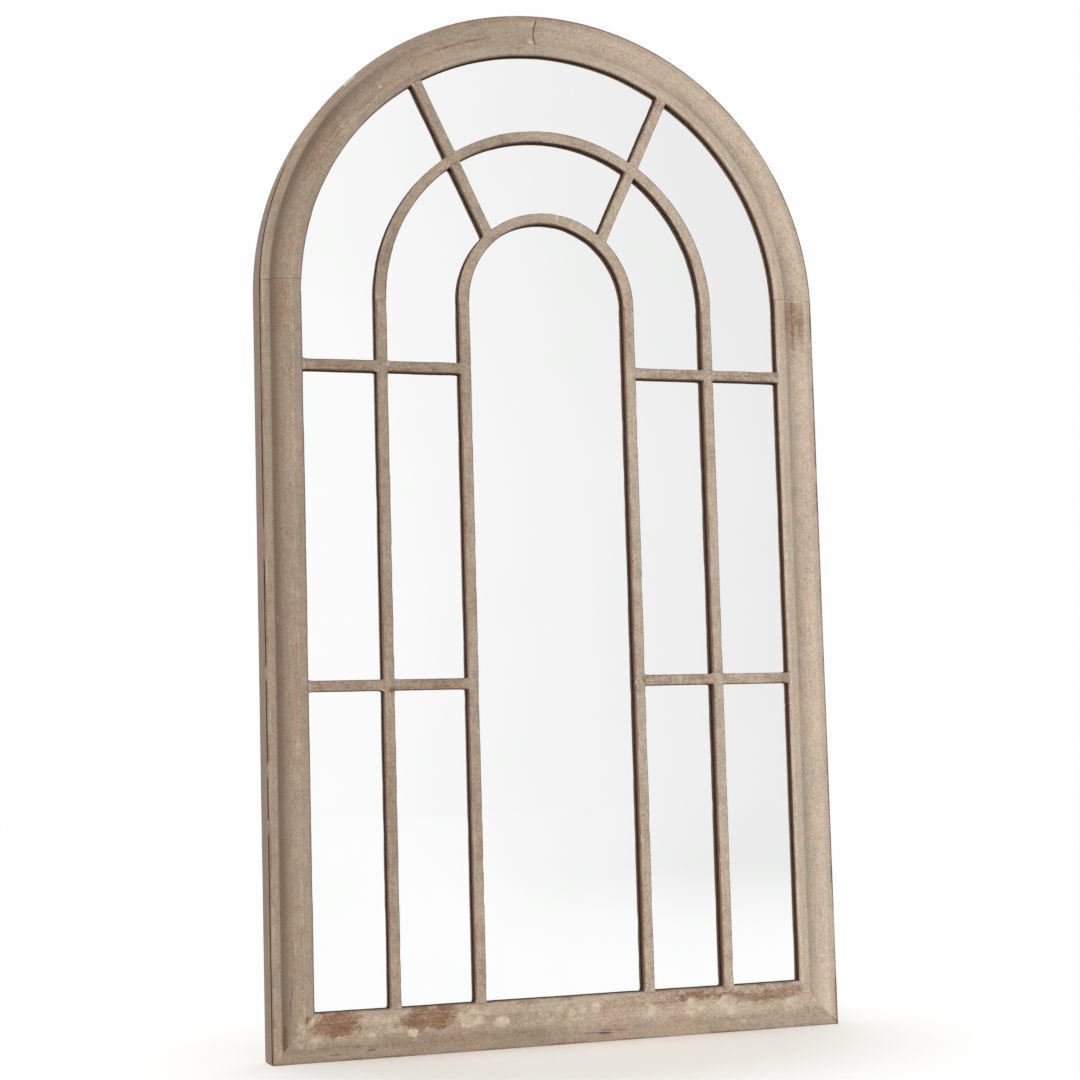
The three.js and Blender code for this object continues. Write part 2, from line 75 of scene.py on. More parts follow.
lens = bpy.data.cameras.new("photo_lens")
lens.sensor_width = SENSOR_MM
lens.lens = FOCAL_PIXELS / PHOTO_SIDE * SENSOR_MM
lens.clip_end = CLIP_END
camera = in_scene("photo_camera", lens)
forward = Vector((
    math.sin(CAMERA_YAW) * math.cos(CAMERA_PITCH),
    math.cos(CAMERA_YAW) * math.cos(CAMERA_PITCH),
    math.sin(CAMERA_PITCH),
))
level = Vector((math.cos(CAMERA_YAW), -math.sin(CAMERA_YAW), 0))
plumb = level.cross(forward)
rightward = level * math.cos(CAMERA_ROLL) - plumb * math.sin(CAMERA_ROLL)
upward = plumb * math.cos(CAMERA_ROLL) + level * math.sin(CAMERA_ROLL)
turn = Matrix((rightward, upward, -forward)).transposed().to_4x4()
camera.matrix_world = Matrix.Translation(CAMERA_PLACE) @ turn
bpy.context.scene.camera = camera

# ------------------------------------------------------------------------------------------------
# Frame: two stiles, two arch quarters and a bottom rail of one pine moulding, glued and dowelled.
# The moulding has a rounded sight edge, a fillet, a cove, a flat band and a rounded outer edge.
# It was stained brown, lime-washed, filled at the joints and rubbed back by hand.
# ------------------------------------------------------------------------------------------------

# Sizes are in millimetres, here and below. Places in the drawings are x, and y back from the front.
STILE_FACE = 56.0
SIGHT_ARRIS = 3.6
FILLET = 10.4
OUTER_BAND = 11.3
OUTER_ARRIS = 4.0
COVE_DEPTH = 5.0
LIP_DEPTH = 9.8
GLASS_THICKNESS = 4.0
GLASS_REBATE = 8.0
BOARD_REBATE = 20.0
BAND_THICKNESS = 3.0
BAND_SETBACK = 8.0
CROWN_JOINT_X = -8.0
ROW_STEP = 2.0
SHARP_CORNER = 38.0

front_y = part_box("stile_left")[0].y / MM
frame_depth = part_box("stile_left")[1].y / MM - front_y
half_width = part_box("edge_band_right")[1].x / MM
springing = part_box("edge_band_arch")[1].z / MM - half_width
rail_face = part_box("bottom_rail")[1].z / MM
joint_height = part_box("stile_left")[1].z / MM
sight_half = half_width - STILE_FACE


def linear(hex_colour):
    """An sRGB hex colour as linear RGBA."""
    parts = [int(hex_colour[i:i + 2], 16) / 255 for i in (1, 3, 5)]
    return (*(p / 12.92 if p <= 0.04045 else ((p + 0.055) / 1.055) ** 2.4 for p in parts), 1.0)


def add(tree, kind, inputs=None, **settings):
    """Adds a node with its settings and inputs. A node given as an input is linked from its first output."""
    made = tree.nodes.new(kind)
    for key, value in settings.items():
        setattr(made, key, value)
    for key, value in (inputs or {}).items():
        if isinstance(value, bpy.types.Node):
            value = value.outputs[0]
        if isinstance(value, bpy.types.NodeSocket):
            tree.links.new(value, made.inputs[key])
        else:
            made.inputs[key].default_value = value
    return made


def bare_material(name):
    """A new material with an empty node tree, and that tree."""
    material = bpy.data.materials.new(name)
    material.use_nodes = True
    material.node_tree.nodes.clear()
    return material, material.node_tree


def patches(along, across, along_mm, across_mm, seed):
    """Smooth random values from 0 to 1, in patches of the given size."""
    grid = np.random.default_rng(seed).random((509, 127))
    a, c = np.abs(along / along_mm) % 508, np.abs(across / across_mm + 31) % 126
    i, j = a.astype(int), c.astype(int)
    fa, fc = a - i, c - j
    fa, fc = fa * fa * (3 - 2 * fa), fc * fc * (3 - 2 * fc)
    low = grid[i, j] * (1 - fa) + grid[i + 1, j] * fa
    high = grid[i, j + 1] * (1 - fa) + grid[i + 1, j + 1] * fa
    return low * (1 - fc) + high * fc


def ramp(value, low, high):
    """0 below low, 1 above high, smooth between them."""
    t = np.clip((value - low) / (high - low), 0, 1)
    return t * t * (3 - 2 * t)


def patchy(along, across, along_mm, across_mm, seed, low, high):
    """Random patches with edges: 0 where the random value lies under low, 1 where it lies over high."""
    return ramp(patches(along, across, along_mm, across_mm, seed), low, high)


def hump(value, middle, width, power=2):
    """1 at the middle, falling away smoothly on both sides. A higher power makes its top flatter."""
    return np.exp(-((value - middle) / width) ** power)


def arc(x, y, radius, start, end, steps):
    """Points on an arc, from one angle to another in degrees, both ends with them."""
    angles = np.radians(np.linspace(start, end, steps + 1))
    return [(x + radius * math.cos(a), y + radius * math.sin(a)) for a in angles]


def line(a, b, steps):
    """The points between a and b, without the two themselves."""
    return [(a[0] + (b[0] - a[0]) * i / steps, a[1] + (b[1] - a[1]) * i / steps) for i in range(1, steps)]


def cove_edges(face):
    """Where the cove starts and ends on a face of this width. The rail's is wider than the stiles'."""
    stretch = face / STILE_FACE
    return (SIGHT_ARRIS + FILLET) * stretch, face - OUTER_BAND * stretch


def moulding(face, banded):
    """The moulding's outline, out from the opening and back from the front, and each point's wear."""
    cove_start, cove_end = cove_edges(face)
    half = (cove_end - cove_start) / 2
    radius = (half ** 2 + COVE_DEPTH ** 2) / (2 * COVE_DEPTH)
    slope = math.degrees(math.asin(half / radius))
    worn = [
        *arc(SIGHT_ARRIS, SIGHT_ARRIS, SIGHT_ARRIS, 180, 270, 7),
        *line((SIGHT_ARRIS, 0), (cove_start, 0), 5),
        *arc((cove_start + cove_end) / 2, COVE_DEPTH - radius, radius, 90 + slope, 90 - slope, 22),
        *line((cove_end, 0), (face - OUTER_ARRIS, 0), 5),
        *arc(face - OUTER_ARRIS, OUTER_ARRIS, OUTER_ARRIS, -90, 0, 8),
    ]
    seat = face - (BAND_THICKNESS if banded else 0)
    groove = [(face, 5.4), (face - 0.7, 6.6), (face - 1.5, BAND_SETBACK - 0.1), (seat, BAND_SETBACK - 0.1)]
    side = groove if banded else line((face, OUTER_ARRIS), (face, frame_depth), 8)
    glass_back = LIP_DEPTH + GLASS_THICKNESS
    hidden = [
        (seat, frame_depth),
        (BOARD_REBATE, frame_depth),
        (BOARD_REBATE, glass_back),
        (GLASS_REBATE, glass_back),
        (GLASS_REBATE, LIP_DEPTH),
        (0.0, LIP_DEPTH),
        (0.0, (LIP_DEPTH + SIGHT_ARRIS) / 2),
    ]
    outline = np.array(worn + side + hidden)
    share = np.array([1.0] * len(worn) + [0.35] * len(side) + [0.0] * (len(hidden) - 1) + [0.4])
    return outline, share


def swept_piece(name, outline, share, place, rows, relief, finish, limed, wind):
    """A mesh swept along a member.

    place(u, t) gives x, z and the distance along. relief sinks the surface, finish gives its attributes,
    and wind turns the faces outwards where the sweep runs the other way.
    """
    ahead, behind = np.roll(outline, -1, axis=0), np.roll(outline, 1, axis=0)
    tangent = ahead - behind
    normal = np.stack([tangent[:, 1], -tangent[:, 0]], axis=1)
    normal /= np.linalg.norm(normal, axis=1)[:, None]
    count = len(outline)
    t = np.repeat(np.linspace(0, 1, rows + 1), count)
    u, y = np.tile(outline[:, 0], rows + 1), np.tile(outline[:, 1], rows + 1)
    nu, ny = np.tile(normal[:, 0], rows + 1), np.tile(normal[:, 1], rows + 1)
    weight = np.tile(share, rows + 1)
    x, z, s = place(u, t)
    sunk = weight * relief(x, z, u, y, s)
    x, z, s = place(u - nu * sunk, t)
    points = np.stack([x, front_y + y - ny * sunk, z], axis=1) * MM
    steps = np.linalg.norm(ahead - outline, axis=1)
    girth = np.concatenate([[0], np.cumsum(steps)])
    quads, uvs = [], []
    along = s.reshape(rows + 1, count)
    for row in range(rows):
        for j in range(count):
            k = (j + 1) % count
            a, b = row * count, (row + 1) * count
            corners = [
                (a + j, row, j, j), (a + k, row, j + 1, k),
                (b + k, row + 1, j + 1, k), (b + j, row + 1, j, j),
            ]
            if wind:
                corners.reverse()
            quads.append([c[0] for c in corners])
            uvs.extend((girth[c[2]] * MM, along[c[1], c[3]] * MM) for c in corners)
    first, last = list(range(count)), list(range(rows * count, (rows + 1) * count))
    for cap, reverse in ((first, not wind), (last, wind)):
        quads.append(cap[::-1] if reverse else cap)
        uvs.extend((girth[c % count] * MM, s[c] * MM) for c in quads[-1])
    mesh = bpy.data.meshes.new(name)
    mesh.from_pydata(points.tolist(), [], quads)
    mesh.uv_layers.new(name="surface").data.foreach_set("uv", np.array(uvs, np.float32).ravel())
    for label, values in finish(x, z, u, y, s).items():
        layer = mesh.attributes.new(label, "FLOAT", "POINT")
        layer.data.foreach_set("value", np.asarray(values, np.float32))
    mesh.polygons.foreach_set("use_smooth", [True] * len(mesh.polygons))
    mesh.set_sharp_from_angle(angle=math.radians(SHARP_CORNER))
    mesh.materials.append(limed)
    mesh.update()
    return in_scene(name, mesh)


def limed_pine(name, stain_dark, stain_light, coverage):
    """Brown-stained pine under a rubbed lime wash.

    The eye gets a dry, greyish cream with a fine tooth, cloudy from the brush, and the brown stain where
    the wash is thin. The real pores and grit are a few tenths of a millimetre across, which would melt
    into one tone in the render, so they are drawn 0.9 to 2.6 mm across.
    """
    material, tree = bare_material(name)
    surface = add(tree, "ShaderNodeUVMap", uv_map="surface").outputs["UV"]
    place = add(tree, "ShaderNodeTexCoord").outputs["Object"]
    wash, filler, grime, fair = (
        add(tree, "ShaderNodeAttribute", attribute_name=label).outputs["Fac"]
        for label in ("wash", "filler", "grime", "fair")
    )

    pattern = {}
    for label, width_mm, length_mm, detail, roughness, distortion in (
        ("grain", 1.8, 40, 4, 0.6, 0.3), ("brushed", 6, 90, 4, 0.6, 0.6), ("pores", 0.9, 7, 3, 0.7, 0.0),
    ):
        scale = (1 / (width_mm * MM), 1 / (length_mm * MM), 1)
        drawn = add(tree, "ShaderNodeMapping", {"Vector": surface, "Scale": scale})
        pattern[label] = add(tree, "ShaderNodeTexNoise", {
            "Vector": drawn, "Scale": 1.0, "Detail": detail, "Roughness": roughness, "Distortion": distortion,
        })
    for label, size_mm, detail, roughness in (
        ("cloud", 55, 3, 0.55), ("mottle", 13, 4, 0.62), ("grit", 2.6, 3, 0.7), ("sand", 1.1, 2, 0.7),
    ):
        pattern[label] = add(tree, "ShaderNodeTexNoise", {
            "Vector": place, "Scale": 1 / (size_mm * MM), "Detail": detail, "Roughness": roughness,
        })

    def swayed(amount, **sway):
        """An amount moved up and down by each pattern about its middle, by that pattern's strength."""
        for label, strength in sway.items():
            centred = add(tree, "ShaderNodeMath", {0: pattern[label], 1: 0.5}, operation="SUBTRACT")
            moved = {0: centred, 1: strength, 2: amount}
            amount = add(tree, "ShaderNodeMath", moved, operation="MULTIPLY_ADD")
        return amount

    def shown(amount, low, high, least=0.0, most=1.0, **sway):
        """How much of a coat shows, from least to most, as its swayed amount rises from low to high."""
        return add(tree, "ShaderNodeMapRange", {
            "Value": swayed(amount, **sway),
            "From Min": low, "From Max": high, "To Min": least, "To Max": most,
        }, interpolation_type="SMOOTHSTEP")

    creamy = shown(fair, 0.0, 1.0, cloud=0.42, brushed=0.38, mottle=0.34)
    flushed = shown(pattern["cloud"], 0.4, 0.66, 0.0, 0.75, brushed=0.5)
    cover = shown(
        wash, 0.1, 0.8, 0.0, coverage, grit=0.55, sand=0.5, pores=0.35, mottle=0.35, brushed=0.35,
    )
    chalk = shown(filler, 0.25, 0.95, 0.0, 0.8, mottle=0.9, grit=0.45, pores=0.3)
    dirt_and_shade = shown(grime, 0.2, 0.9, 0.0, 0.94, grit=0.3, grain=0.35)

    tones = {}
    for label, factor, dark, light in (
        ("stain", shown(pattern["grain"], 0.3, 0.72), stain_dark, stain_light),
        ("lime", creamy, "#9c8c7a", "#d8c9b5"),
        ("chalk", shown(pattern["mottle"], 0.35, 0.65), "#c3b39b", "#ddd1bd"),
    ):
        ends = {"Factor": factor, 6: linear(dark), 7: linear(light)}
        tones[label] = add(tree, "ShaderNodeMix", ends, data_type="RGBA").outputs[2]
    flush = {"Factor": flushed, 6: tones["lime"], 7: linear("#fcf2f1")}
    lime = add(tree, "ShaderNodeMix", flush, data_type="RGBA", blend_type="MULTIPLY").outputs[2]
    limed = {"Factor": cover, 6: tones["stain"], 7: lime}
    colour = add(tree, "ShaderNodeMix", limed, data_type="RGBA").outputs[2]
    speck = 1.0
    for label, low, high, least, most in (
        ("grit", 0.3, 0.7, 0.86, 1.1), ("sand", 0.3, 0.7, 0.84, 1.12),
        ("pores", 0.28, 0.6, 0.86, 1.04), ("grain", 0.3, 0.7, 0.94, 1.05),
    ):
        tone = shown(pattern[label], low, high, least, most)
        speck = add(tree, "ShaderNodeMath", {0: speck, 1: tone}, operation="MULTIPLY")
    colour = add(tree, "ShaderNodeVectorMath", {0: colour, "Scale": speck}, operation="SCALE")
    # Chalky filler on top, then dark brown where grime asks for it: soiling, and painted shade.
    for factor, over in ((chalk, tones["chalk"]), (dirt_and_shade, linear("#3a2312"))):
        coated = {"Factor": factor, 6: colour, 7: over}
        colour = add(tree, "ShaderNodeMix", coated, data_type="RGBA").outputs[2]

    dry = {0: dirt_and_shade, 1: 0.3, 2: shown(cover, 0.0, 1.0, 0.55, 0.8)}
    rough = add(tree, "ShaderNodeMath", dry, operation="MULTIPLY_ADD")
    built_up = add(tree, "ShaderNodeMath", {0: chalk, 1: 0.6}, operation="MULTIPLY")
    heights = swayed(built_up, pores=0.6, grit=0.9, sand=0.5, grain=0.3)
    bump = add(tree, "ShaderNodeBump", {"Strength": 0.5, "Distance": 0.3 * MM, "Height": heights})
    shader = add(tree, "ShaderNodeBsdfPrincipled", {
        "Base Color": colour, "Roughness": rough, "Specular IOR Level": 0.25, "Normal": bump,
    })
    add(tree, "ShaderNodeOutputMaterial", {"Surface": shader})
    return material


limed_moulding = limed_pine("limed_pine_moulding", "#7a5943", "#a0795e", 0.94)


def crown_crack(u):
    """How far the crown joint wanders from a straight saw cut."""
    return 0.9 * np.sin(u / 7.0) + 1.3 * ramp(u, 36, 46)


def springing_crack(u, side):
    """The springing joints step a little: the arch stands lower at its outer band than at its cove."""
    return (1.6 * (1 - ramp(u, 38, 46)) - 1.4 * ramp(u, 38, 46)) * (1 if side < 0 else 0.6)


def stile_place(side):
    """Up a stile, from the mitre to the springing joint. Its top follows the curve already."""
    def place(u, t):
        low = rail_face * (1 - u / STILE_FACE)
        high = joint_height + springing_crack(u, side) - 0.12
        z = low + (high - low) * t
        radius = sight_half + u
        rise = np.maximum(z - springing, 0)
        return side * np.sqrt(radius ** 2 - rise ** 2), z, z
    return place


def arch_place(side):
    """Along an arch quarter, from the springing joint to the crown joint."""
    def place(u, t):
        radius = sight_half + u
        start = np.arcsin((joint_height + springing_crack(u, side) + 0.12 - springing) / radius)
        end = np.arccos(side * (CROWN_JOINT_X + crown_crack(u) + side * 0.14) / radius)
        angle = start + (end - start) * t
        z = springing + radius * np.sin(angle)
        return side * radius * np.cos(angle), z, joint_height + sight_half * angle
    return place


def rail_place(u, t):
    """Along the rail, from mitre to mitre."""
    reach = sight_half + u * STILE_FACE / rail_face - 0.1
    x = -reach + 2 * reach * t
    return x, rail_face - u, x


def mitre_distance(member, x, z, u):
    """How far a point lies from the mitre plane at its corner, along the member."""
    if member == "stile":
        return np.abs(z - rail_face * (1 - u / STILE_FACE))
    if member == "rail":
        return np.abs(np.abs(x) - sight_half - u * STILE_FACE / rail_face)
    return np.full_like(u, 1e3)


OPEN_GAP = 624
FILLED_GAPS = (375, 302, 500)


def open_joint(member, x, z, u, y, face):
    """Where the moulding stands back from the outer strip, so that their joint shows as a dark line."""
    if member == "rail":
        return 0.0
    gaping = 0.3 + 0.4 * patchy(z, u * 0, 110, 9, 61, 0.3, 0.62) + 0.2 * patches(z, u * 0, 17, 9, 62)
    gaping = gaping + 0.9 * hump(z, OPEN_GAP, 22, 4)
    for filled in FILLED_GAPS:
        gaping = gaping * (1 - 0.85 * hump(z, filled, 9, 4))
    return 0.8 * gaping * ramp(-x, 330, 372) * ramp(u, face - 1.2, face - 0.2) * (y > 1.5)


def hand_worn(member, seed, face):
    """How far the surface lies under the machined section, in mm: rubbed arrises, waves and small dents."""
    cove_start, cove_end = cove_edges(face)

    def relief(x, z, u, y, s):
        edge = 0.5 * hump(u, 1.0, 2.2) + 0.25 * hump(u, face - 2.5, 2.4)
        edge += 0.35 * hump(u, cove_end, 1.6) + 0.2 * hump(u, cove_start, 1.6)
        wave = 0.25 * patches(s, u, 90, 30, seed) + 0.18 * patches(s, u, 14, 9, seed + 1)
        rubbed = edge * (0.2 + 0.9 * patchy(s, u, 38, 20, seed + 2, 0.45, 0.95))
        dents = 0.7 * patchy(s, u, 6, 5, seed + 3, 0.94, 1.0)
        kept = ramp(mitre_distance(member, x, z, u), 0, 9) * (1 - 0.75 * ramp(u, face - 2.5, face - 0.8))
        return 0.1 + kept * (wave + rubbed + dents) + open_joint(member, x, z, u, y, face)
    return relief


def blotch(x, z, at, size, seed, soft=0.3):
    """A dab of filler wiped flat: 1 in the middle, 0 outside, with a ragged outline."""
    ragged = 0.55 * (patches(x + 500, z, 9, 7, seed) - 0.5)
    ragged = ragged + 0.35 * (patches(x + 500, z, 3.5, 3, seed + 1) - 0.5)
    across, up = np.abs(x - at[0]) / size[0], np.abs(z - at[1]) / size[1]
    return 1 - ramp((across ** 2.6 + up ** 2.6) ** (1 / 2.6) + ragged, 1 - soft, 1 + soft)


# Dabs of filler along the rail: middle (x, z), half size, strength and softness of the edge.
RAIL_FILLER = [
    ((-252, 42), (30, 14), 0.55, 0.45), ((-213, 30), (6.5, 5.5), 0.9, 0.25), ((-132, 42), (22, 12), 0.7, 0.4),
    ((-130, 42), (13, 8), 0.95, 0.5), ((-92, 36), (10, 9), 0.85, 0.35), ((-38, 37), (20, 9), 0.65, 0.7),
    ((-10, 45), (6, 7), 0.8, 0.3), ((6, 44), (5, 8), 0.85, 0.3), ((22, 46), (6, 8), 0.85, 0.3),
    ((40, 46), (6, 8), 0.8, 0.3), ((116, 38), (17, 12), 0.65, 0.7), ((184, 37), (13, 12), 0.8, 0.3),
    ((236, 36), (14, 14), 0.8, 0.35), ((342, 34), (32, 10), 0.7, 0.5), ((262, 14), (12, 3), 0.6, 0.4),
    ((-180, 20), (40, 4), 0.35, 0.6), ((140, 22), (34, 5), 0.35, 0.6), ((-300, 32), (22, 5), 0.4, 0.6),
    ((-352, 24), (22, 8), 0.5, 0.6),
]
# Where the rail's lip is rubbed back to the stain: middle, half size and strength.
RUBBED_LIP = [
    ((-316, 47), (29, 17), 0.52), ((-192, 48), (36, 15), 0.46), ((-56, 58), (17, 4), 0.34),
    ((-2, 60), (9, 3), 0.3), ((110, 52), (90, 9), 0.2), ((200, 54), (46, 8), 0.26),
    ((292, 50), (54, 11), 0.32),
]
# Rubbed streaks by the crown: middle and half length in degrees, then the distance from the opening.
CROWN_STREAKS = ((121, 4, 7), (110, 10, 28), (96, 3, 10))


def rail_marks(wash, filler, grime, fair, x, z, u, s):
    """The rail's lip rubbed to the stain, its dabs of filler, and two short runs of cracks."""
    for at, size, strength in RUBBED_LIP:
        wash = wash - strength * blotch(x, z, at, size, 80, 0.25)
    for i, (at, size, strength, soft) in enumerate(RAIL_FILLER):
        filler = np.maximum(filler, strength * blotch(x, z, at, size, 60 + i, soft))
    cracks = patchy(s, u, 16, 1.6, 93, 0.5, 0.72) * blotch(x, z, (-306, 13), (34, 7), 91)
    cracks = cracks + patchy(s, u, 26, 1.4, 94, 0.66, 0.85) * blotch(x, z, (26, 16), (66, 6), 92)
    # Lighter toward the rail's left end, and painted greyer along its lower band by the floor: painted shade.
    fair = fair + 0.2 * ramp(-x, 0, 300) - 0.26 * (1 - ramp(z, 14, 34))
    return wash, filler, np.maximum(grime, 0.7 * cracks), fair


def stile_marks(wash, filler, grime, x, z, u, s, side, face):
    """The stain under the springing joint, and each stile's own rubs, runs and lines of filler."""
    cove_start, cove_end = cove_edges(face)
    on_left = side < 0
    below = joint_height + springing_crack(u, side) - z
    tint = ramp(below, 0, 4) * (1 - ramp(below, 34, 95)) * (1 - ramp(u, cove_end - 3, cove_end + 1))
    inner, depth = (16, 0.3) if on_left else (10, 0.26)
    wash = wash - depth * tint * ramp(u, inner, inner + 5) * (1 - 0.5 * ramp(u, 30, 40) * on_left)
    grime = np.maximum(grime, 0.5 * hump(below, 0, 0.9) * patchy(u * 7, u, 30, 60, 3, 0.2, 0.6))
    if not on_left:
        filler = np.maximum(filler, 1.1 * ramp(u, 8, 12) * hump(below, 0, 1.8))
        wash = wash - 0.22 * patchy(s, u, 26, 30, 45, 0.3, 0.7) * ramp(u, face - 7, face - 3)
        wash = wash - 0.2 * hump(u, 28, 3) * ramp(z, 760, 900) * patchy(s, u, 40, 3, 46, 0.3, 0.6)
        return wash, filler, grime
    drip = hump(u, 30 + 1.2 * np.sin(z / 9), 0.9) * ramp(z, 48, 60) * (1 - ramp(z, 100, 124))
    grime = np.maximum(grime, 0.7 * drip * patchy(z, u, 12, 9, 41, 0.2, 0.5))
    wash = wash - 0.16 * hump(u, 16, 3) * patchy(s, u * 0, 120, 9, 42, 0.3, 0.6)
    wash = wash - 0.6 * blotch(x, z, (-384, 36), (3.5, 15), 95) - 0.5 * blotch(x, z, (-353, 52), (5, 8), 96)
    cream = hump(u, cove_start, 1.1) + 0.8 * hump(u, face - 3, 2.2)
    return wash, np.maximum(filler, 0.42 * cream * patchy(s, u * 0, 60, 9, 43, 0.2, 0.6)), grime


def arch_marks(wash, filler, grime, fair, x, z, u, s, side, face, in_cove):
    """The cracks at the arch's joints, the filler and streaks by the crown, and the stain on the left."""
    cove_start, cove_end = cove_edges(face)
    above = z - joint_height - springing_crack(u, side)
    grime = np.maximum(grime, 0.5 * hump(above, 0, 0.8) * (x * side > 0))
    across = np.abs(x - CROWN_JOINT_X - crown_crack(u))
    split = ramp(u, 12, 17) * (1 - ramp(u, 47, 52)) * (z > springing)
    grime = np.maximum(grime, 0.85 * split * hump(across, 0, 0.55))
    filled = (x < CROWN_JOINT_X) * split * hump(across, 5, 8)
    filler = np.maximum(filler, 0.75 * filled * patchy(x + 90, u, 7, 9, 5, 0.3, 0.6))
    angle = np.degrees(np.arctan2(z - springing, x))
    for middle, reach, out in CROWN_STREAKS:
        streak = hump(angle, middle, reach, 4) * hump(u, out, 2.2)
        wash = wash - 0.46 * streak * (0.5 + 0.5 * patches(s, u, 9, 3, 44))
    stained = (side < 0) * hump(angle, 146, 20) * patchy(s, u, 60, 14, 47, 0.2, 0.65)
    wash = wash - 0.15 * stained * ramp(u, 3, 8) * (1 - ramp(u, cove_end, cove_end + 2))
    wash = wash - 0.16 * hump(angle, 85, 32) * ramp(u, cove_end, cove_end + 4)
    fair = fair + hump(angle, 104, 26) * (0.05 * in_cove - 0.03 - 0.16 * ramp(u, cove_end, cove_end + 3))
    speck = 0.8 * hump(angle, 129, 0.8) * hump(u, 22, 2.5)
    seam = 0.4 * (side < 0) * hump(u, cove_start, 1.1) * (angle > 120)
    chip = 1.3 * hump(angle, 133.8, 1.6) * ramp(u, face - 5, face - 2)
    return wash, np.maximum.reduce([filler, speck, seam, chip]), grime, fair


def frame_finish(member, side, face):
    """Where the lime wash is thick or rubbed off, where filler was wiped on, where it is soiled, and where
    shade is painted in: the left cove, the lip by the glass and the rail's lower band.
    """
    seed = {"stile": 11, "arch": 23, "rail": 37}[member] + (5 if side > 0 else 0)
    cove_start, cove_end = cove_edges(face)

    def finish(x, z, u, y, s):
        wash = 0.8 + 0.16 * (patches(s, u, 110, 40, seed) - 0.5)
        wash = wash + 0.12 * (patches(s, u, 30, 9, seed + 1) - 0.5)
        fair = 0.24 + 0.5 * ramp(x, -400, 300) + 0.12 * (patches(s, u, 70, 20, seed + 9) - 0.5)
        in_cove = ramp(u, cove_start, cove_start + 5) * (1 - ramp(u, cove_end - 5, cove_end))
        # Painted shade: the cove's outer slope on the left stile and left arch, which faces away from the key
        # light, is painted greyer and darker, and the whole cove on the left half a little greyer.
        painted_cove_shade = ramp(u, cove_start + 9, cove_end - 7) * (1 - ramp(u, cove_end - 2.5, cove_end + 0.5))
        painted_cove_shade = painted_cove_shade * ramp(-x, 160, 320) * (member != "rail")
        fair = fair - (0.08 + 0.55 * painted_cove_shade) * in_cove * (x < 0)
        rubbed_arris = hump(u, face - 1.0, 2.0) * patchy(s, u, 45, 30, seed + 2, 0.2, 0.6)
        wash = wash - 0.06 * in_cove - (0.75 if side > 0 else 0.4) * rubbed_arris
        wash = wash - 0.3 * (1 - ramp(u, 0.6, 2.2)) * (y < LIP_DEPTH)
        filler = 0.4 * patchy(s, u, 26, 10, seed + 3, 0.82, 1.0)
        joint = (y > BAND_SETBACK - 3.4) * (u > face - 4) * (face < rail_face)
        lip = (u < 0.9) * (y < LIP_DEPTH + 0.1)
        grime = np.maximum.reduce([
            0.42 * painted_cove_shade,
            0.4 * patchy(s, u, 40, 2.2, seed + 4, 0.88, 1.0),
            joint * ramp(open_joint(member, x, z, u * 0 + face, y, face), 0.05, 0.75),
            # Painted shade: the lip's inner side darkens toward the glass, and every face from the glass
            # back, in the rebate and under the rail, is fully dark.
            lip * (0.34 + 0.66 * ramp(y, 3.2, 8.2)) * ramp(y, 1.2, 3.6),
            1.0 * (y > LIP_DEPTH - 0.1),
        ])
        if member == "rail":
            wash, filler, grime, fair = rail_marks(wash, filler, grime, fair, x, z, u, s)
        mitre = mitre_distance(member, x, z, u)
        at_mitre = hump(mitre, 0, 12) * patchy(x + 500, z, 9, 9, 7, 0.25, 0.7)
        filler = np.maximum(filler, np.where(x < 0, 0.62, 0.5) * at_mitre)
        split = ramp(u, face - 14, face - 9) * (side > 0 or member == "rail")
        grime = np.maximum(grime, 0.8 * split * (x > 0) * hump(mitre, 0, 0.8))
        if member == "stile":
            wash, filler, grime = stile_marks(wash, filler, grime, x, z, u, s, side, face)
        if member == "arch":
            wash, filler, grime, fair = arch_marks(
                wash, filler, grime, fair, x, z, u, s, side, face, in_cove,
            )
        at_back = y > frame_depth - 0.5
        wash = np.where(at_back, 0.22 + 0.3 * (patches(s, u, 60, 14, 98) - 0.5), wash)
        grime = np.where(at_back, 0.16 + 0.3 * (patches(s, u, 90, 18, 99) - 0.5), grime)
        filler = np.where(at_back, 0, filler)
        return {"wash": np.clip(wash, 0, 1), "filler": filler, "grime": np.clip(grime, 0, 1), "fair": fair}
    return finish


def frame_member(node, member, side, face, place, length, seed):
    """One member of the frame, with its wear and its finish, in place of its CAD node."""
    outline, share = moulding(face, member != "rail")
    rows = int(length / ROW_STEP)
    piece = swept_piece(
        node + "_moulding", outline, share, place, rows,
        hand_worn(member, seed, face), frame_finish(member, side, face), limed_moulding, side >= 0,
    )
    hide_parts(node)
    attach(piece, "mirror_frame")


quarter = half_width * math.pi / 2
for word, side in (("left", -1), ("right", 1)):
    frame_member(f"stile_{word}", "stile", side, STILE_FACE, stile_place(side), joint_height, 100 + side)
    frame_member(f"arch_{word}", "arch", side, STILE_FACE, arch_place(side), quarter, 200 + side)
frame_member("bottom_rail", "rail", 0, rail_face, rail_place, 2 * half_width, 300)

# ------------------------------------------------------------------------------------------------
# Outer strip: thin pine strips bent and glued round the outside of the stiles and the arch.
# Their front edge lies back from the moulding's, and the joint between them is only partly filled.
# ------------------------------------------------------------------------------------------------

STRIP_ROUNDING = 0.7
STRIP_STEP = 4.0
STRIP_UNEVEN = 0.35
STRIP_WAVES_PER_METRE = 18.0
STRIP_CORNER = 50.0

limed_strip = limed_pine("limed_pine_strip", "#7c6353", "#a28774", 0.85)


def node_group(name, inputs, output):
    """A geometry-nodes tree with named inputs and one output, and the sockets that carry the inputs."""
    tree = bpy.data.node_groups.new(name, "GeometryNodeTree")
    for label, kind in inputs.items():
        tree.interface.new_socket(label, in_out="INPUT", socket_type="NodeSocket" + kind)
    tree.interface.new_socket(output, in_out="OUTPUT", socket_type="NodeSocketGeometry")
    return tree, add(tree, "NodeGroupInput").outputs


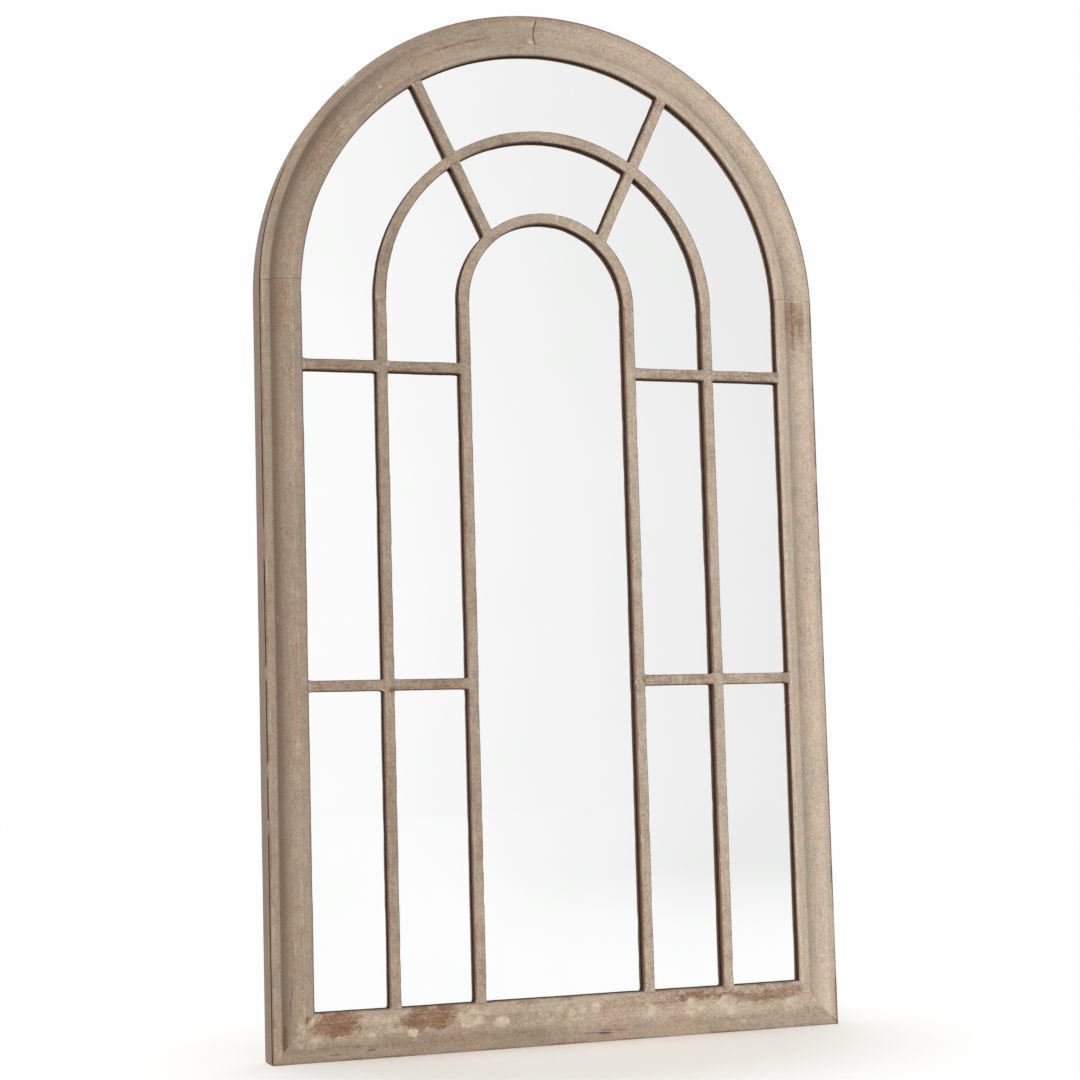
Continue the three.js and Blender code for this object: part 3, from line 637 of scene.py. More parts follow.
def strip_tree():
    """Geometry nodes: a thin rounded strip swept along the path, a little uneven on the outside."""
    tree, given = node_group("strip_along_path", {
        "Path": "Geometry", "Outline": "Object", "Unevenness": "Float", "Material": "Material",
    }, "Strip")
    facing = {"Curve": given["Path"], "Normal": (0, -1, 0)}
    upright = add(tree, "GeometryNodeSetCurveNormal", facing, mode="FREE")
    along = add(tree, "GeometryNodeSplineParameter").outputs["Length"]
    path = add(tree, "GeometryNodeCaptureAttribute", {"Geometry": upright}, domain="POINT")
    path.capture_items.new("FLOAT", "along")
    tree.links.new(along, path.inputs["along"])
    outline = add(tree, "GeometryNodeObjectInfo", {"Object": given["Outline"]}).outputs["Geometry"]
    girth = add(tree, "GeometryNodeCaptureAttribute", {"Geometry": outline}, domain="POINT")
    girth.capture_items.new("FLOAT", "girth")
    tree.links.new(along, girth.inputs["girth"])
    swept = add(tree, "GeometryNodeCurveToMesh", {
        "Curve": path, "Profile Curve": girth, "Fill Caps": True,
    })
    where = add(tree, "ShaderNodeCombineXYZ", {"X": girth.outputs["girth"], "Y": path.outputs["along"]})
    mapped = add(tree, "GeometryNodeStoreNamedAttribute", {
        "Geometry": swept, "Name": "surface", "Value": where,
    }, data_type="FLOAT2", domain="CORNER")
    noise = add(tree, "ShaderNodeTexNoise", {"Scale": STRIP_WAVES_PER_METRE, "Detail": 2.0})
    sink = add(tree, "ShaderNodeMath", {0: noise, 1: given["Unevenness"]}, operation="MULTIPLY")
    inward = add(tree, "GeometryNodeInputNormal")
    for factor in (sink, -1.0):
        inward = add(tree, "ShaderNodeVectorMath", {0: inward, "Scale": factor}, operation="SCALE")
    uneven = add(tree, "GeometryNodeSetPosition", {"Geometry": mapped, "Offset": inward})
    smooth = add(tree, "GeometryNodeSetShadeSmooth", {"Geometry": uneven, "Shade Smooth": True})
    real = add(tree, "GeometryNodeRealizeInstances", {"Geometry": smooth})
    coated = {"Geometry": real, "Material": given["Material"]}
    add(tree, "NodeGroupOutput", {"Strip": add(tree, "GeometryNodeSetMaterial", coated)})
    return tree


def path_curve(name, points, closed=False):
    """A poly curve through points given in mm."""
    data = bpy.data.curves.new(name, "CURVE")
    data.dimensions = "3D"
    spline = data.splines.new("POLY")
    spline.use_cyclic_u = closed
    spline.points.add(len(points) - 1)
    for point, place in zip(spline.points, points):
        point.co = (*(c * MM for c in place), 1)
    return in_scene(name, data)


def grown(name, source, tree, **values):
    """The plain mesh that a geometry-nodes tree makes of an object, which is then removed."""
    modifier = source.modifiers.new("grow", "NODES")
    modifier.node_group = tree
    identifiers = {item.name: item.identifier for item in tree.interface.items_tree if item.in_out == "INPUT"}
    for label, value in values.items():
        modifier[identifiers[label.replace("_", " ").capitalize()]] = value
    source.update_tag()
    bpy.context.view_layer.update()
    evaluated = source.evaluated_get(bpy.context.evaluated_depsgraph_get())
    mesh = bpy.data.meshes.new_from_object(evaluated)
    mesh.name = name
    source.modifiers.clear()
    bpy.data.objects.remove(source)
    return in_scene(name, mesh)


def strip_outline():
    """A thin rounded rectangle, deep along x, with its points close together near the two ends."""
    deep, thick, r = (frame_depth - BAND_SETBACK) / 2, BAND_THICKNESS / 2, STRIP_ROUNDING
    steps = [deep - d for d in (1.5, 2.5, 4, 7, 12)]
    steps = steps + [0.0] + [-d for d in reversed(steps)]
    upper = [(x, thick) for x in reversed(steps)]
    lower = [(x, -thick) for x in steps]
    return [
        *arc(-deep + r, thick - r, r, 180, 90, 4), *upper, *arc(deep - r, thick - r, r, 90, 0, 4),
        *arc(deep - r, -thick + r, r, 0, -90, 4), *lower, *arc(-deep + r, -thick + r, r, 270, 180, 4),
    ]


def strip_side(x):
    """Up a straight side, from just off the floor to the joint with the bent strip."""
    return [(x, z) for z in np.arange(1, strip_joint, STRIP_STEP)] + [(x, strip_joint)]


strip_nodes = strip_tree()
outline_curve = path_curve("strip_outline", [(x, y, 0) for x, y in strip_outline()], closed=True)
strip_middle = half_width - BAND_THICKNESS / 2
strip_y = front_y + (BAND_SETBACK + frame_depth) / 2
strip_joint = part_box("edge_band_left")[1].z / MM
bent_from = strip_joint + 0.2
strip_paths = {
    "edge_band_left": strip_side(-strip_middle),
    "edge_band_right": strip_side(strip_middle),
    "edge_band_arch": [
        *((-strip_middle, z) for z in np.arange(bent_from, springing, STRIP_STEP)),
        *(
            (strip_middle * math.cos(a), springing + strip_middle * math.sin(a))
            for a in np.radians(np.arange(180, -1, -1))
        ),
        *((strip_middle, z) for z in np.arange(springing - STRIP_STEP, bent_from, -STRIP_STEP)),
        (strip_middle, bent_from),
    ],
}
for node, route in strip_paths.items():
    strip = grown(
        node + "_strip", path_curve(node + "_path", [(x, strip_y, z) for x, z in route]), strip_nodes,
        outline=outline_curve, unevenness=STRIP_UNEVEN * MM, material=limed_strip,
    )
    x, y, z = (np.array([v.co[:] for v in strip.data.vertices]) / MM).T
    nose = hump(y, front_y + BAND_SETBACK, 0.9)
    at_edge = np.full(len(x), STILE_FACE)
    opened = open_joint("stile", x, z, at_edge, at_edge, STILE_FACE)
    layers = {
        "wash": 0.64 + 0.5 * (patches(x + z, y, 60, 12, 71) - 0.5),
        "fair": 0.1 + 0.5 * ramp(x, -300, 300),
        "filler": 0.7 * patchy(x + z, x + z, 22, 50, 72, 0.75, 0.95) * nose,
        "grime": np.clip(nose * ramp(opened, 0.05, 0.7), 0, 1),
    }
    for label, values in layers.items():
        layer = strip.data.attributes.new(label, "FLOAT", "POINT")
        layer.data.foreach_set("value", values.astype(np.float32))
    strip.data.set_sharp_from_angle(angle=math.radians(STRIP_CORNER))
    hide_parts(node)
    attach(strip, "mirror_frame")
bpy.data.objects.remove(outline_curve)

# ------------------------------------------------------------------------------------------------
# Lattice: pine bars glued to the front of the mirror sheet, butted together and filled flush.
# Their arrises are rubbed round, and their sides keep more of the brown stain than their fronts.
# One arris of each bar is rubbed darker than the other, and the sides darken toward the glass: both are
# painted shade.
# ------------------------------------------------------------------------------------------------

BAR_WIDTH = 15.0
BAR_THICKNESS = 8.5
BAR_ARRIS = 1.5
BAR_STEP = 2.5
FILLER_CORNER = 1.6
INTO_JOINT = 1.2
KNOT = (-233, 476)
FILLER_DAB = (17, 1120)

limed_bar = limed_pine("limed_pine_bar", "#66493a", "#8f6b54", 0.92)

half_bar = BAR_WIDTH / 2
bar_front = LIP_DEPTH - BAR_THICKNESS
cross_heights = [sum(c.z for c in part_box(f"{row}_bar_outer_left")) / 2 / MM for row in ("upper", "lower")]
leg_boxes = {word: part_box(f"{word}_leg_right") for word in ("middle", "inner")}
leg_x = {word: (low.x + high.x) / 2 / MM for word, (low, high) in leg_boxes.items()}
leg_top = {word: high.z / MM for word, (low, high) in leg_boxes.items()}


def bar_outline():
    """A bar's outline, from the glass round its front to the glass, and each point's share of wear."""
    r = BAR_ARRIS
    points = [
        (-half_bar, LIP_DEPTH), *line((-half_bar, LIP_DEPTH), (-half_bar, bar_front + r), 4),
        *arc(-half_bar + r, bar_front + r, r, 180, 270, 4),
        *line((-half_bar + r, bar_front), (half_bar - r, bar_front), 8),
        *arc(half_bar - r, bar_front + r, r, -90, 0, 4),
        *line((half_bar, bar_front + r), (half_bar, LIP_DEPTH), 4), (half_bar, LIP_DEPTH),
    ]
    share = [0.0] + [1.0] * (len(points) - 2) + [0.0]
    return np.array(points), np.array(share)


def bar(node, place, length, joined, seed, across=False, lighter_arris_side=1):
    """One bar. joined says which ends butt against another piece, and lighter_arris_side is the side whose
    arris is rubbed less; the other arris is rubbed darker, as painted shade.
    """
    outline, share = bar_outline()

    def spread(u, t):
        """Filler widens a bar where it butts against another piece."""
        reach = np.minimum(
            np.where(joined[0], t * length, 1e3), np.where(joined[1], (1 - t) * length, 1e3),
        )
        t = t * (1 + INTO_JOINT / length * (joined[0] + joined[1])) - joined[0] * INTO_JOINT / length
        return place(u * (1 + FILLER_CORNER / half_bar * np.exp(-reach / 2.2)), t)

    def relief(x, z, u, y, s):
        edge = ramp(np.abs(u), half_bar - 2.6, half_bar) * (y < bar_front + 2.5)
        wave = 0.2 * patches(x + 500, z, 30, 40, 46) + 0.1 * patches(x + 500, z, 7, 8, 47)
        return wave + edge * 0.6 * patchy(s, u + 40 * np.sign(u), 22, 15, seed + 2, 0.5, 0.95)

    def finish(x, z, u, y, s):
        on_side = ramp(y, bar_front + 0.9, bar_front + 2.2)
        on_front = 1 - on_side
        cloudy = 0.16 * (patches(x + 500, z, 50, 60, 48) + patches(x + 500, z, 12, 17, 49) - 1)
        rubbed = ramp(np.abs(u), half_bar - 1.9, half_bar - 0.5) * on_front
        # The arris away from lighter_arris_side is rubbed deeper to the stain: wear, and painted shade on
        # that side.
        wash = (0.7 + cloudy) * (1 - 0.5 * on_side) - rubbed * np.where(u * lighter_arris_side < 0, 0.6, 0.2)
        fair = 0.3 + 0.42 * ramp(x, -300, 260) + 0.12 * (patches(x + 500, z, 40, 60, 50) - 0.5)
        if across:
            wash, fair = wash - 0.12, fair - 0.03
        at_joints = [0 * u]
        at_joints += [joined[0] * hump(s, s.min(), 7), joined[1] * hump(s, s.max(), 7)]
        at_joints += [] if across else [0.9 * hump(z, height, 10) for height in cross_heights]
        at_joints = np.maximum.reduce(at_joints) * patchy(x + 500, z, 6, 6, 52, 0.25, 0.7)
        filler = 0.3 * patchy(x + 500, z, 16, 20, 51, 0.84, 1.0)
        dab = hump(x, FILLER_DAB[0], 2.2) * hump(z, FILLER_DAB[1], 7)
        filler = np.maximum.reduce([filler, 0.6 * at_joints, 1.3 * dab]) * on_front
        # The sides are darkened, most toward the glass: soiling, and painted shade in the corner against the
        # glass.
        grime = (0.3 + 0.9 * ramp(y, bar_front + 1.6, LIP_DEPTH - 3.4)) * on_side
        knot = hump(x, KNOT[0], 3.5) * hump(z, KNOT[1], 3) * on_front
        return {
            "wash": np.clip(wash - 0.9 * knot, 0, 1), "filler": filler, "fair": fair,
            "grime": np.clip(grime + 0.4 * knot, 0, 1),
        }

    rows = max(10, int(length / BAR_STEP))
    piece = swept_piece(node + "_wood", outline, share, spread, rows, relief, finish, limed_bar, False)
    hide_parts(node)
    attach(piece, "mirror_frame")


def leg_place(x, low, high):
    """Up a leg of the lattice."""
    return lambda u, t: (x + u, low + (high - low) * t, low + (high - low) * t)


def level_place(z, left, right):
    """Along a cross bar, from left to right."""
    return lambda u, t: (left + (right - left) * t, z - u, left + (right - left) * t)


def ring_place(radius, centre, start, end):
    """A quarter of a lattice arch, clockwise from the start angle to the x of its end."""
    def place(u, t):
        r = radius - u
        first = np.full_like(r, start) if start is not None else np.arccos(end[0] / r)
        last = np.arccos(end[1] / r) if end[1] is not None else np.zeros_like(r)
        angle = first + (last - first) * t
        return r * np.cos(angle), centre + r * np.sin(angle), -radius * angle
    return place


for n, word in enumerate(("middle", "inner")):
    radius, centre = leg_x[word], leg_top[word]
    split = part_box(f"{word}_arch_left")[1].x / MM
    quarter = radius * math.pi / 2
    for side_word, side in (("left", -1), ("right", 1)):
        leg = leg_place(side * radius, rail_face, centre)
        bar(f"{word}_leg_{side_word}", leg, centre - rail_face, (True, False), 400 + 40 * n + 10 * (side > 0))
    to_left = ring_place(radius, centre, math.pi, (0, split - 0.05))
    to_right = ring_place(radius, centre, None, (split + 0.05, None))
    bar(f"{word}_arch_left", to_left, quarter, (False, False), 480 + n, lighter_arris_side=-1)
    bar(f"{word}_arch_right", to_right, quarter, (False, False), 490 + n)

spans = {
    "outer": (leg_x["middle"] + half_bar, sight_half),
    "inner": (leg_x["inner"] + half_bar, leg_x["middle"] - half_bar),
}
for i, (row, height) in enumerate(zip(("upper", "lower"), cross_heights)):
    for j, (where, (near, far)) in enumerate(spans.items()):
        for side_word, ends, step in (("left", (-far, -near), 0), ("right", (near, far), 4)):
            crossbar = level_place(height, *ends)
            seed = 500 + 20 * i + 8 * j + step
            bar(f"{row}_bar_{where}_{side_word}", crossbar, far - near, (True, True), seed, True, -1)

SLANT_OUTER = math.radians(58.5)
SLANT_INNER = math.radians(49.0)
SLANT_LENGTH = 105


def crossing(origin, heading, u, centre, radius):
    """How far along each line, offset sideways by u, it leaves the circle."""
    sideways = Vector((heading.y, -heading.x))
    px, pz = origin.x + sideways.x * u, origin.y + sideways.y * u - centre
    along = px * heading.x + pz * heading.y
    return -along + np.sqrt(along ** 2 - px ** 2 - pz ** 2 + radius ** 2)


def slant_place(side, inner_circle, outer_circle):
    """Along a slanting bar, between two of the circles that it crosses."""
    far = Vector((side * sight_half * math.cos(SLANT_OUTER), springing + sight_half * math.sin(SLANT_OUTER)))
    reach = leg_x["inner"] + half_bar
    near = Vector((side * reach * math.cos(SLANT_INNER), leg_top["inner"] + reach * math.sin(SLANT_INNER)))
    heading = (far - near).normalized()
    sideways = Vector((heading.y, -heading.x))

    def place(u, t):
        first = crossing(near, heading, u, *inner_circle)
        last = crossing(near, heading, u, *outer_circle)
        s = first + (last - first) * t
        return near.x + sideways.x * u + heading.x * s, near.y + sideways.y * u + heading.y * s, s
    return place


inner_edge = (leg_top["inner"], leg_x["inner"] + half_bar)
middle_inside = (leg_top["middle"], leg_x["middle"] - half_bar)
middle_outside = (leg_top["middle"], leg_x["middle"] + half_bar)
sight_edge = (springing, sight_half)
for side_word, side in (("left", -1), ("right", 1)):
    for where, circles, seed in (
        ("inner", (inner_edge, middle_inside), 560), ("outer", (middle_outside, sight_edge), 570),
    ):
        slant = slant_place(side, *circles)
        bar(f"slant_bar_{where}_{side_word}", slant, SLANT_LENGTH, (True, True), seed + side)

# ------------------------------------------------------------------------------------------------
# Mirror sheet: one arched sheet of 4 mm float glass, silvered behind. The eye meets the silver,
# which lies by sight at two thirds of the glass's depth, so that is where the reflecting face is.
# ------------------------------------------------------------------------------------------------

GLASS_INDEX = 1.52
GROUND_EDGE = 0.5
SILVER_CLOUD = 143.0

# Silver under clear glass: the eye gets the room back, a shade cooler, and very slightly soft.
silvered_glass, tree = bare_material("silvered_float_glass")
place = add(tree, "ShaderNodeTexCoord").outputs["Object"]
haze = add(tree, "ShaderNodeTexNoise", {"Vector": place, "Scale": 1 / (SILVER_CLOUD * MM), "Detail": 3.0})
ends = {"Factor": haze, 6: linear("#fafcfa"), 7: linear("#fdfdfd")}
tone = add(tree, "ShaderNodeMix", ends, data_type="RGBA").outputs[2]
polish = add(tree, "ShaderNodeMapRange", {
    "Value": haze, "From Min": 0.3, "From Max": 0.7, "To Min": 0.012, "To Max": 0.03,
})
shader = add(tree, "ShaderNodeBsdfPrincipled", {"Base Color": tone, "Metallic": 1.0, "Roughness": polish})
add(tree, "ShaderNodeOutputMaterial", {"Surface": shader})

sheet_low, sheet_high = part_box("mirror_sheet")
sheet_half = sheet_high.x / MM
silver_y = front_y + LIP_DEPTH + GLASS_THICKNESS / GLASS_INDEX
sheet_angles = np.radians(np.linspace(0, 180, 145))
rim = [(-sheet_half, sheet_low.z / MM), (sheet_half, sheet_low.z / MM)]
rim += [(sheet_half * math.cos(a), springing + sheet_half * math.sin(a)) for a in sheet_angles]
shape = bmesh.new()
face = shape.faces.new([shape.verts.new((x * MM, silver_y * MM, z * MM)) for x, z in rim])
thickness = sheet_high.y - silver_y * MM
back = bmesh.ops.extrude_face_region(shape, geom=[face])
for item in back["geom"]:
    if isinstance(item, bmesh.types.BMVert):
        item.co.y += thickness
bmesh.ops.recalc_face_normals(shape, faces=shape.faces)
mirror_mesh = bpy.data.meshes.new("mirror_sheet_glass")
shape.to_mesh(mirror_mesh)
shape.free()
mirror_mesh.materials.append(silvered_glass)
mirror_piece = in_scene("mirror_sheet_glass", mirror_mesh)
edge_grind = mirror_piece.modifiers.new("ground_edge", "BEVEL")
edge_grind.width = GROUND_EDGE * MM
edge_grind.segments = 2
edge_grind.limit_method = "ANGLE"
edge_grind.angle_limit = math.radians(60)
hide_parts("mirror_sheet")
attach(mirror_piece, "mirror_frame")

# ------------------------------------------------------------------------------------------------
# Backing board: 3 mm hardboard screwed into the rebate, its screen-marked rough side outwards.
# The mesh of the screen it was pressed on leaves a fine square weave in the brown fibre.
# ------------------------------------------------------------------------------------------------

SCREEN_PITCH = 2.2
FIBRE_CLUMP = 3.85
STAIN_CLOUD = 167.0

# Pressed wood fibre: the eye gets a dull, even brown with a faint woven tooth. The screen's own pitch is
# about 1 mm, which wouldn't show in the render, so it is drawn 2.2 mm wide. 20 is the wave node's own
# factor between its scale and its waves.
hardboard, tree = bare_material("pressed_hardboard")
place = add(tree, "ShaderNodeTexCoord").outputs["Object"]
weave, across = (
    add(tree, "ShaderNodeTexWave", {
        "Vector": place, "Scale": 2 * math.pi / (20 * SCREEN_PITCH * MM), "Distortion": 0.4, "Detail": 1.0,
    }, wave_type="BANDS", bands_direction=direction, wave_profile="SIN").outputs["Fac"]
    for direction in ("X", "Z")
)
weave = add(tree, "ShaderNodeMath", {0: weave, 1: across}, operation="MULTIPLY")
fibre = add(tree, "ShaderNodeTexNoise", {
    "Vector": place, "Scale": 1 / (FIBRE_CLUMP * MM), "Detail": 5.0, "Roughness": 0.7,
})
cloud = add(tree, "ShaderNodeTexNoise", {"Vector": place, "Scale": 1 / (STAIN_CLOUD * MM), "Detail": 4.0})
ends = {"Factor": fibre, 6: linear("#5c422c"), 7: linear("#8d6a49")}
colour = add(tree, "ShaderNodeMix", ends, data_type="RGBA").outputs[2]
shade = add(tree, "ShaderNodeMapRange", {
    "Value": cloud, "From Min": 0.3, "From Max": 0.7, "To Min": 0.86, "To Max": 1.1,
})
colour = add(tree, "ShaderNodeVectorMath", {0: colour, "Scale": shade}, operation="SCALE")
height = add(tree, "ShaderNodeMath", {0: weave, 1: fibre}, operation="ADD")
bump = add(tree, "ShaderNodeBump", {"Strength": 0.6, "Distance": 0.35 * MM, "Height": height})
shader = add(tree, "ShaderNodeBsdfPrincipled", {"Base Color": colour, "Roughness": 0.86, "Normal": bump})
add(tree, "ShaderNodeOutputMaterial", {"Surface": shader})
frame["nodes"]["backing_board"].material_slots[0].material = hardboard

# ------------------------------------------------------------------------------------------------
# Dowels: beech pegs glued across the joints of the frame, out of sight.
# Straight-grained, pale and dry.
# ------------------------------------------------------------------------------------------------

BEECH_FLECK = 1.43

# Unfinished beech: the eye gets a pale, dry pinkish tan with small darker flecks.
beech, tree = bare_material("dry_beech")
place = add(tree, "ShaderNodeTexCoord").outputs["Object"]
flecks = add(tree, "ShaderNodeTexNoise", {
    "Vector": place, "Scale": 1 / (BEECH_FLECK * MM), "Detail": 4.0, "Roughness": 0.6,
})
ends = {"Factor": flecks, 6: linear("#b78d63"), 7: linear("#d8b58b")}
colour = add(tree, "ShaderNodeMix", ends, data_type="RGBA").outputs[2]
bump = add(tree, "ShaderNodeBump", {"Strength": 0.3, "Distance": 0.1 * MM, "Height": flecks})
shader = add(tree, "ShaderNodeBsdfPrincipled", {"Base Color": colour, "Roughness": 0.7, "Normal": bump})
add(tree, "ShaderNodeOutputMaterial", {"Surface": shader})
for node, part in frame["nodes"].items():
    if "dowel" in node:
        part.material_slots[0].material = beech

# ------------------------------------------------------------------------------------------------
# Screws: zinc-plated pan heads with a cross recess, twelve through the board and two in each strap.
# Each was driven by hand, so the recesses stand at different angles.
# ------------------------------------------------------------------------------------------------

HEAD_RADIUS = 3.5
HEAD_HEIGHT = 2.0
HEAD_CORNER = 35.0
TURNING_STEPS = 28
RECESS_REACH = 2.1
RECESS_WIDTH = 0.75
RECESS_DEPTH = 1.3
BLOOM = 2.5
SCRATCH_WIDTH = 0.25
SCRATCH_LENGTH = 3.85


def zinc(name, dark, light, roughness):
    """Bright zinc plate: the eye gets a grey metal, a little cloudy and finely scratched.

    Real scratches are some hundredths of a millimetre wide, so they are drawn 0.25 mm wide to show at all.
    """
    material, tree = bare_material(name)
    place = add(tree, "ShaderNodeTexCoord").outputs["Object"]
    bloom = add(tree, "ShaderNodeTexNoise", {"Vector": place, "Scale": 1 / (BLOOM * MM), "Detail": 4.0})
    fine, long = 1 / (SCRATCH_WIDTH * MM), 1 / (SCRATCH_LENGTH * MM)
    drawn = add(tree, "ShaderNodeMapping", {"Vector": place, "Scale": (fine, fine, long)})
    scratch = add(tree, "ShaderNodeTexNoise", {"Vector": drawn, "Scale": 1.0, "Detail": 2.0})
    ends = {"Factor": bloom, 6: linear(dark), 7: linear(light)}
    colour = add(tree, "ShaderNodeMix", ends, data_type="RGBA").outputs[2]
    rough = add(tree, "ShaderNodeMapRange", {
        "Value": bloom, "From Min": 0.3, "From Max": 0.7,
        "To Min": roughness - 0.08, "To Max": roughness + 0.1,
    })
    bump = add(tree, "ShaderNodeBump", {"Strength": 0.25, "Distance": 0.05 * MM, "Height": scratch})
    shader = add(tree, "ShaderNodeBsdfPrincipled", {
        "Base Color": colour, "Metallic": 1.0, "Roughness": rough, "Normal": bump,
    })
    add(tree, "ShaderNodeOutputMaterial", {"Surface": shader})
    return material


screw_zinc = zinc("zinc_plated_screw", "#a9a99f", "#c9c8bd", 0.34)


def screw_mesh(length, shank):
    """A pan head on a pointed shank, along +Y, with the underside of its head at y = 0 and a cross recess."""
    outline = [(0, -length), (shank / 2, -length + shank), (shank / 2, 0), (HEAD_RADIUS, 0)]
    for angle in np.radians([0, 18, 36, 54, 72]):
        outline.append((HEAD_RADIUS * math.cos(angle) ** 0.8, HEAD_HEIGHT * (0.35 + 0.65 * math.sin(angle))))
    outline.append((0, HEAD_HEIGHT))
    turned = bmesh.new()
    verts = [turned.verts.new((r * MM, y * MM, 0)) for r, y in outline]
    edges = [turned.edges.new(pair) for pair in zip(verts, verts[1:])]
    bmesh.ops.spin(
        turned, geom=verts + edges, axis=(0, 1, 0), cent=(0, 0, 0), angle=2 * math.pi, steps=TURNING_STEPS,
    )
    bmesh.ops.remove_doubles(turned, verts=turned.verts, dist=1e-6)
    bmesh.ops.recalc_face_normals(turned, faces=turned.faces)
    cutting = bmesh.new()
    size = Matrix.Diagonal((2 * RECESS_REACH * MM, 2 * RECESS_DEPTH * MM, RECESS_WIDTH * MM, 1))
    for angle in (0, math.pi / 2):
        set_in = Matrix.Translation((0, HEAD_HEIGHT * MM, 0)) @ Matrix.Rotation(angle, 4, "Y") @ size
        bmesh.ops.create_cube(cutting, size=1, matrix=set_in)
    made = []
    for name, shape in (("turned_screw", turned), ("cross_recess", cutting)):
        mesh = bpy.data.meshes.new(name)
        shape.to_mesh(mesh)
        shape.free()
        made.append(in_scene(name, mesh))
    solid, cutter = made
    cut = solid.modifiers.new("recess", "BOOLEAN")
    cut.object = cutter
    cut.solver = "EXACT"
    cut.use_self = True
    bpy.context.view_layer.update()
    done = bpy.data.meshes.new_from_object(solid.evaluated_get(bpy.context.evaluated_depsgraph_get()))
    bpy.data.objects.remove(solid)
    bpy.data.objects.remove(cutter)
    return done


def screw_tree():
    """Geometry nodes: one screw on every point, each turned by its own angle."""
    tree, given = node_group("screws_on_points", {
        "Places": "Geometry", "Screw": "Object", "Seed": "Int", "Material": "Material",
    }, "Screws")
    pattern = add(tree, "GeometryNodeObjectInfo", {"Object": given["Screw"]}).outputs["Geometry"]
    turns = {2: 0.0, 3: math.pi / 2, "Seed": given["Seed"]}
    angle = add(tree, "FunctionNodeRandomValue", turns, data_type="FLOAT")
    turned = add(tree, "ShaderNodeCombineXYZ", {"Y": angle.outputs[1]})
    placed = add(tree, "GeometryNodeInstanceOnPoints", {
        "Points": given["Places"], "Instance": pattern, "Rotation": turned,
    })
    real = add(tree, "GeometryNodeRealizeInstances", {"Geometry": placed})
    plated = {"Geometry": real, "Material": given["Material"]}
    add(tree, "NodeGroupOutput", {"Screws": add(tree, "GeometryNodeSetMaterial", plated)})
    return tree


screw_nodes = screw_tree()


def screws(name, nodes, seed, shank):
    """All the screws of one kind as one piece. Each stands where its CAD node stands."""
    boxes = [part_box(node) for node in nodes]
    length = (boxes[0][1].y - boxes[0][0].y) / MM - HEAD_HEIGHT
    pattern = in_scene("pattern_screw", screw_mesh(length, shank))
    seats = bpy.data.meshes.new("screw_places")
    seats.from_pydata([
        ((low.x + high.x) / 2, high.y - HEAD_HEIGHT * MM, (low.z + high.z) / 2) for low, high in boxes
    ], [], [])
    holder = in_scene("screw_places", seats)
    piece = grown(name, holder, screw_nodes, screw=pattern, seed=seed, material=screw_zinc)
    bpy.data.objects.remove(pattern)
    piece.data.polygons.foreach_set("use_smooth", [True] * len(piece.data.polygons))
    piece.data.set_sharp_from_angle(angle=math.radians(HEAD_CORNER))
    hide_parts(*nodes)
    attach(piece, "mirror_frame")


screws("board_screws", [f"board_screw_{i:02d}" for i in range(1, 13)], 4, 3.0)
screws("strap_screws", [f"strap_screw_{word}_{i}" for word in ("left", "right") for i in (1, 2)], 9, 3.5)

# ------------------------------------------------------------------------------------------------
# Hangers: a steel strap folded double round the straight side of a D-ring and screwed to the stile.
# The ring is bent from one piece of wire, its two ends meeting inside the fold. Zinc plated.
# ------------------------------------------------------------------------------------------------

WIRE_RADIUS = 1.5
RING_INNER = 18.0
RING_REACH = 15.0
RING_CORNER = 3.0
WIRE_GAP = 1.0
WIRE_SIDES = 20
STRAP_EDGE = 0.3
SHEET_CORNER = 50.0

strap_zinc = zinc("zinc_plated_strap", "#9c9d99", "#bdbfbb", 0.4)
ring_zinc = zinc("zinc_plated_wire", "#a3a5a2", "#c8cac8", 0.28)


def wire_tree():
    """Geometry nodes: round wire along a path."""
    tree, given = node_group("wire_along_path", {
        "Path": "Geometry", "Radius": "Float", "Material": "Material",
    }, "Wire")
    circle = add(tree, "GeometryNodeCurvePrimitiveCircle", {
        "Resolution": WIRE_SIDES, "Radius": given["Radius"],
    }, mode="RADIUS")
    swept = add(tree, "GeometryNodeCurveToMesh", {
        "Curve": given["Path"], "Profile Curve": circle, "Fill Caps": True,
    })
    smooth = add(tree, "GeometryNodeSetShadeSmooth", {"Geometry": swept, "Shade Smooth": True})
    real = add(tree, "GeometryNodeRealizeInstances", {"Geometry": smooth})
    plated = {"Geometry": real, "Material": given["Material"]}
    add(tree, "NodeGroupOutput", {"Wire": add(tree, "GeometryNodeSetMaterial", plated)})
    return tree


def ring_route():
    """The wire's middle line in its own plane: across, and down from the hinge."""
    side = RING_INNER / 2 + WIRE_RADIUS
    gap = WIRE_GAP / 2
    route = [(gap + (side - RING_CORNER - gap) * i / 6, 0.0) for i in range(6)]
    route += arc(side - RING_CORNER, RING_CORNER, RING_CORNER, -90, 0, 8)
    route += arc(0, RING_REACH - side, side, 0, 180, 40)
    route += arc(-side + RING_CORNER, RING_CORNER, RING_CORNER, 180, 270, 8)
    route += [(-gap - (side - RING_CORNER - gap) * i / 6, 0.0) for i in range(5, -1, -1)]
    return route


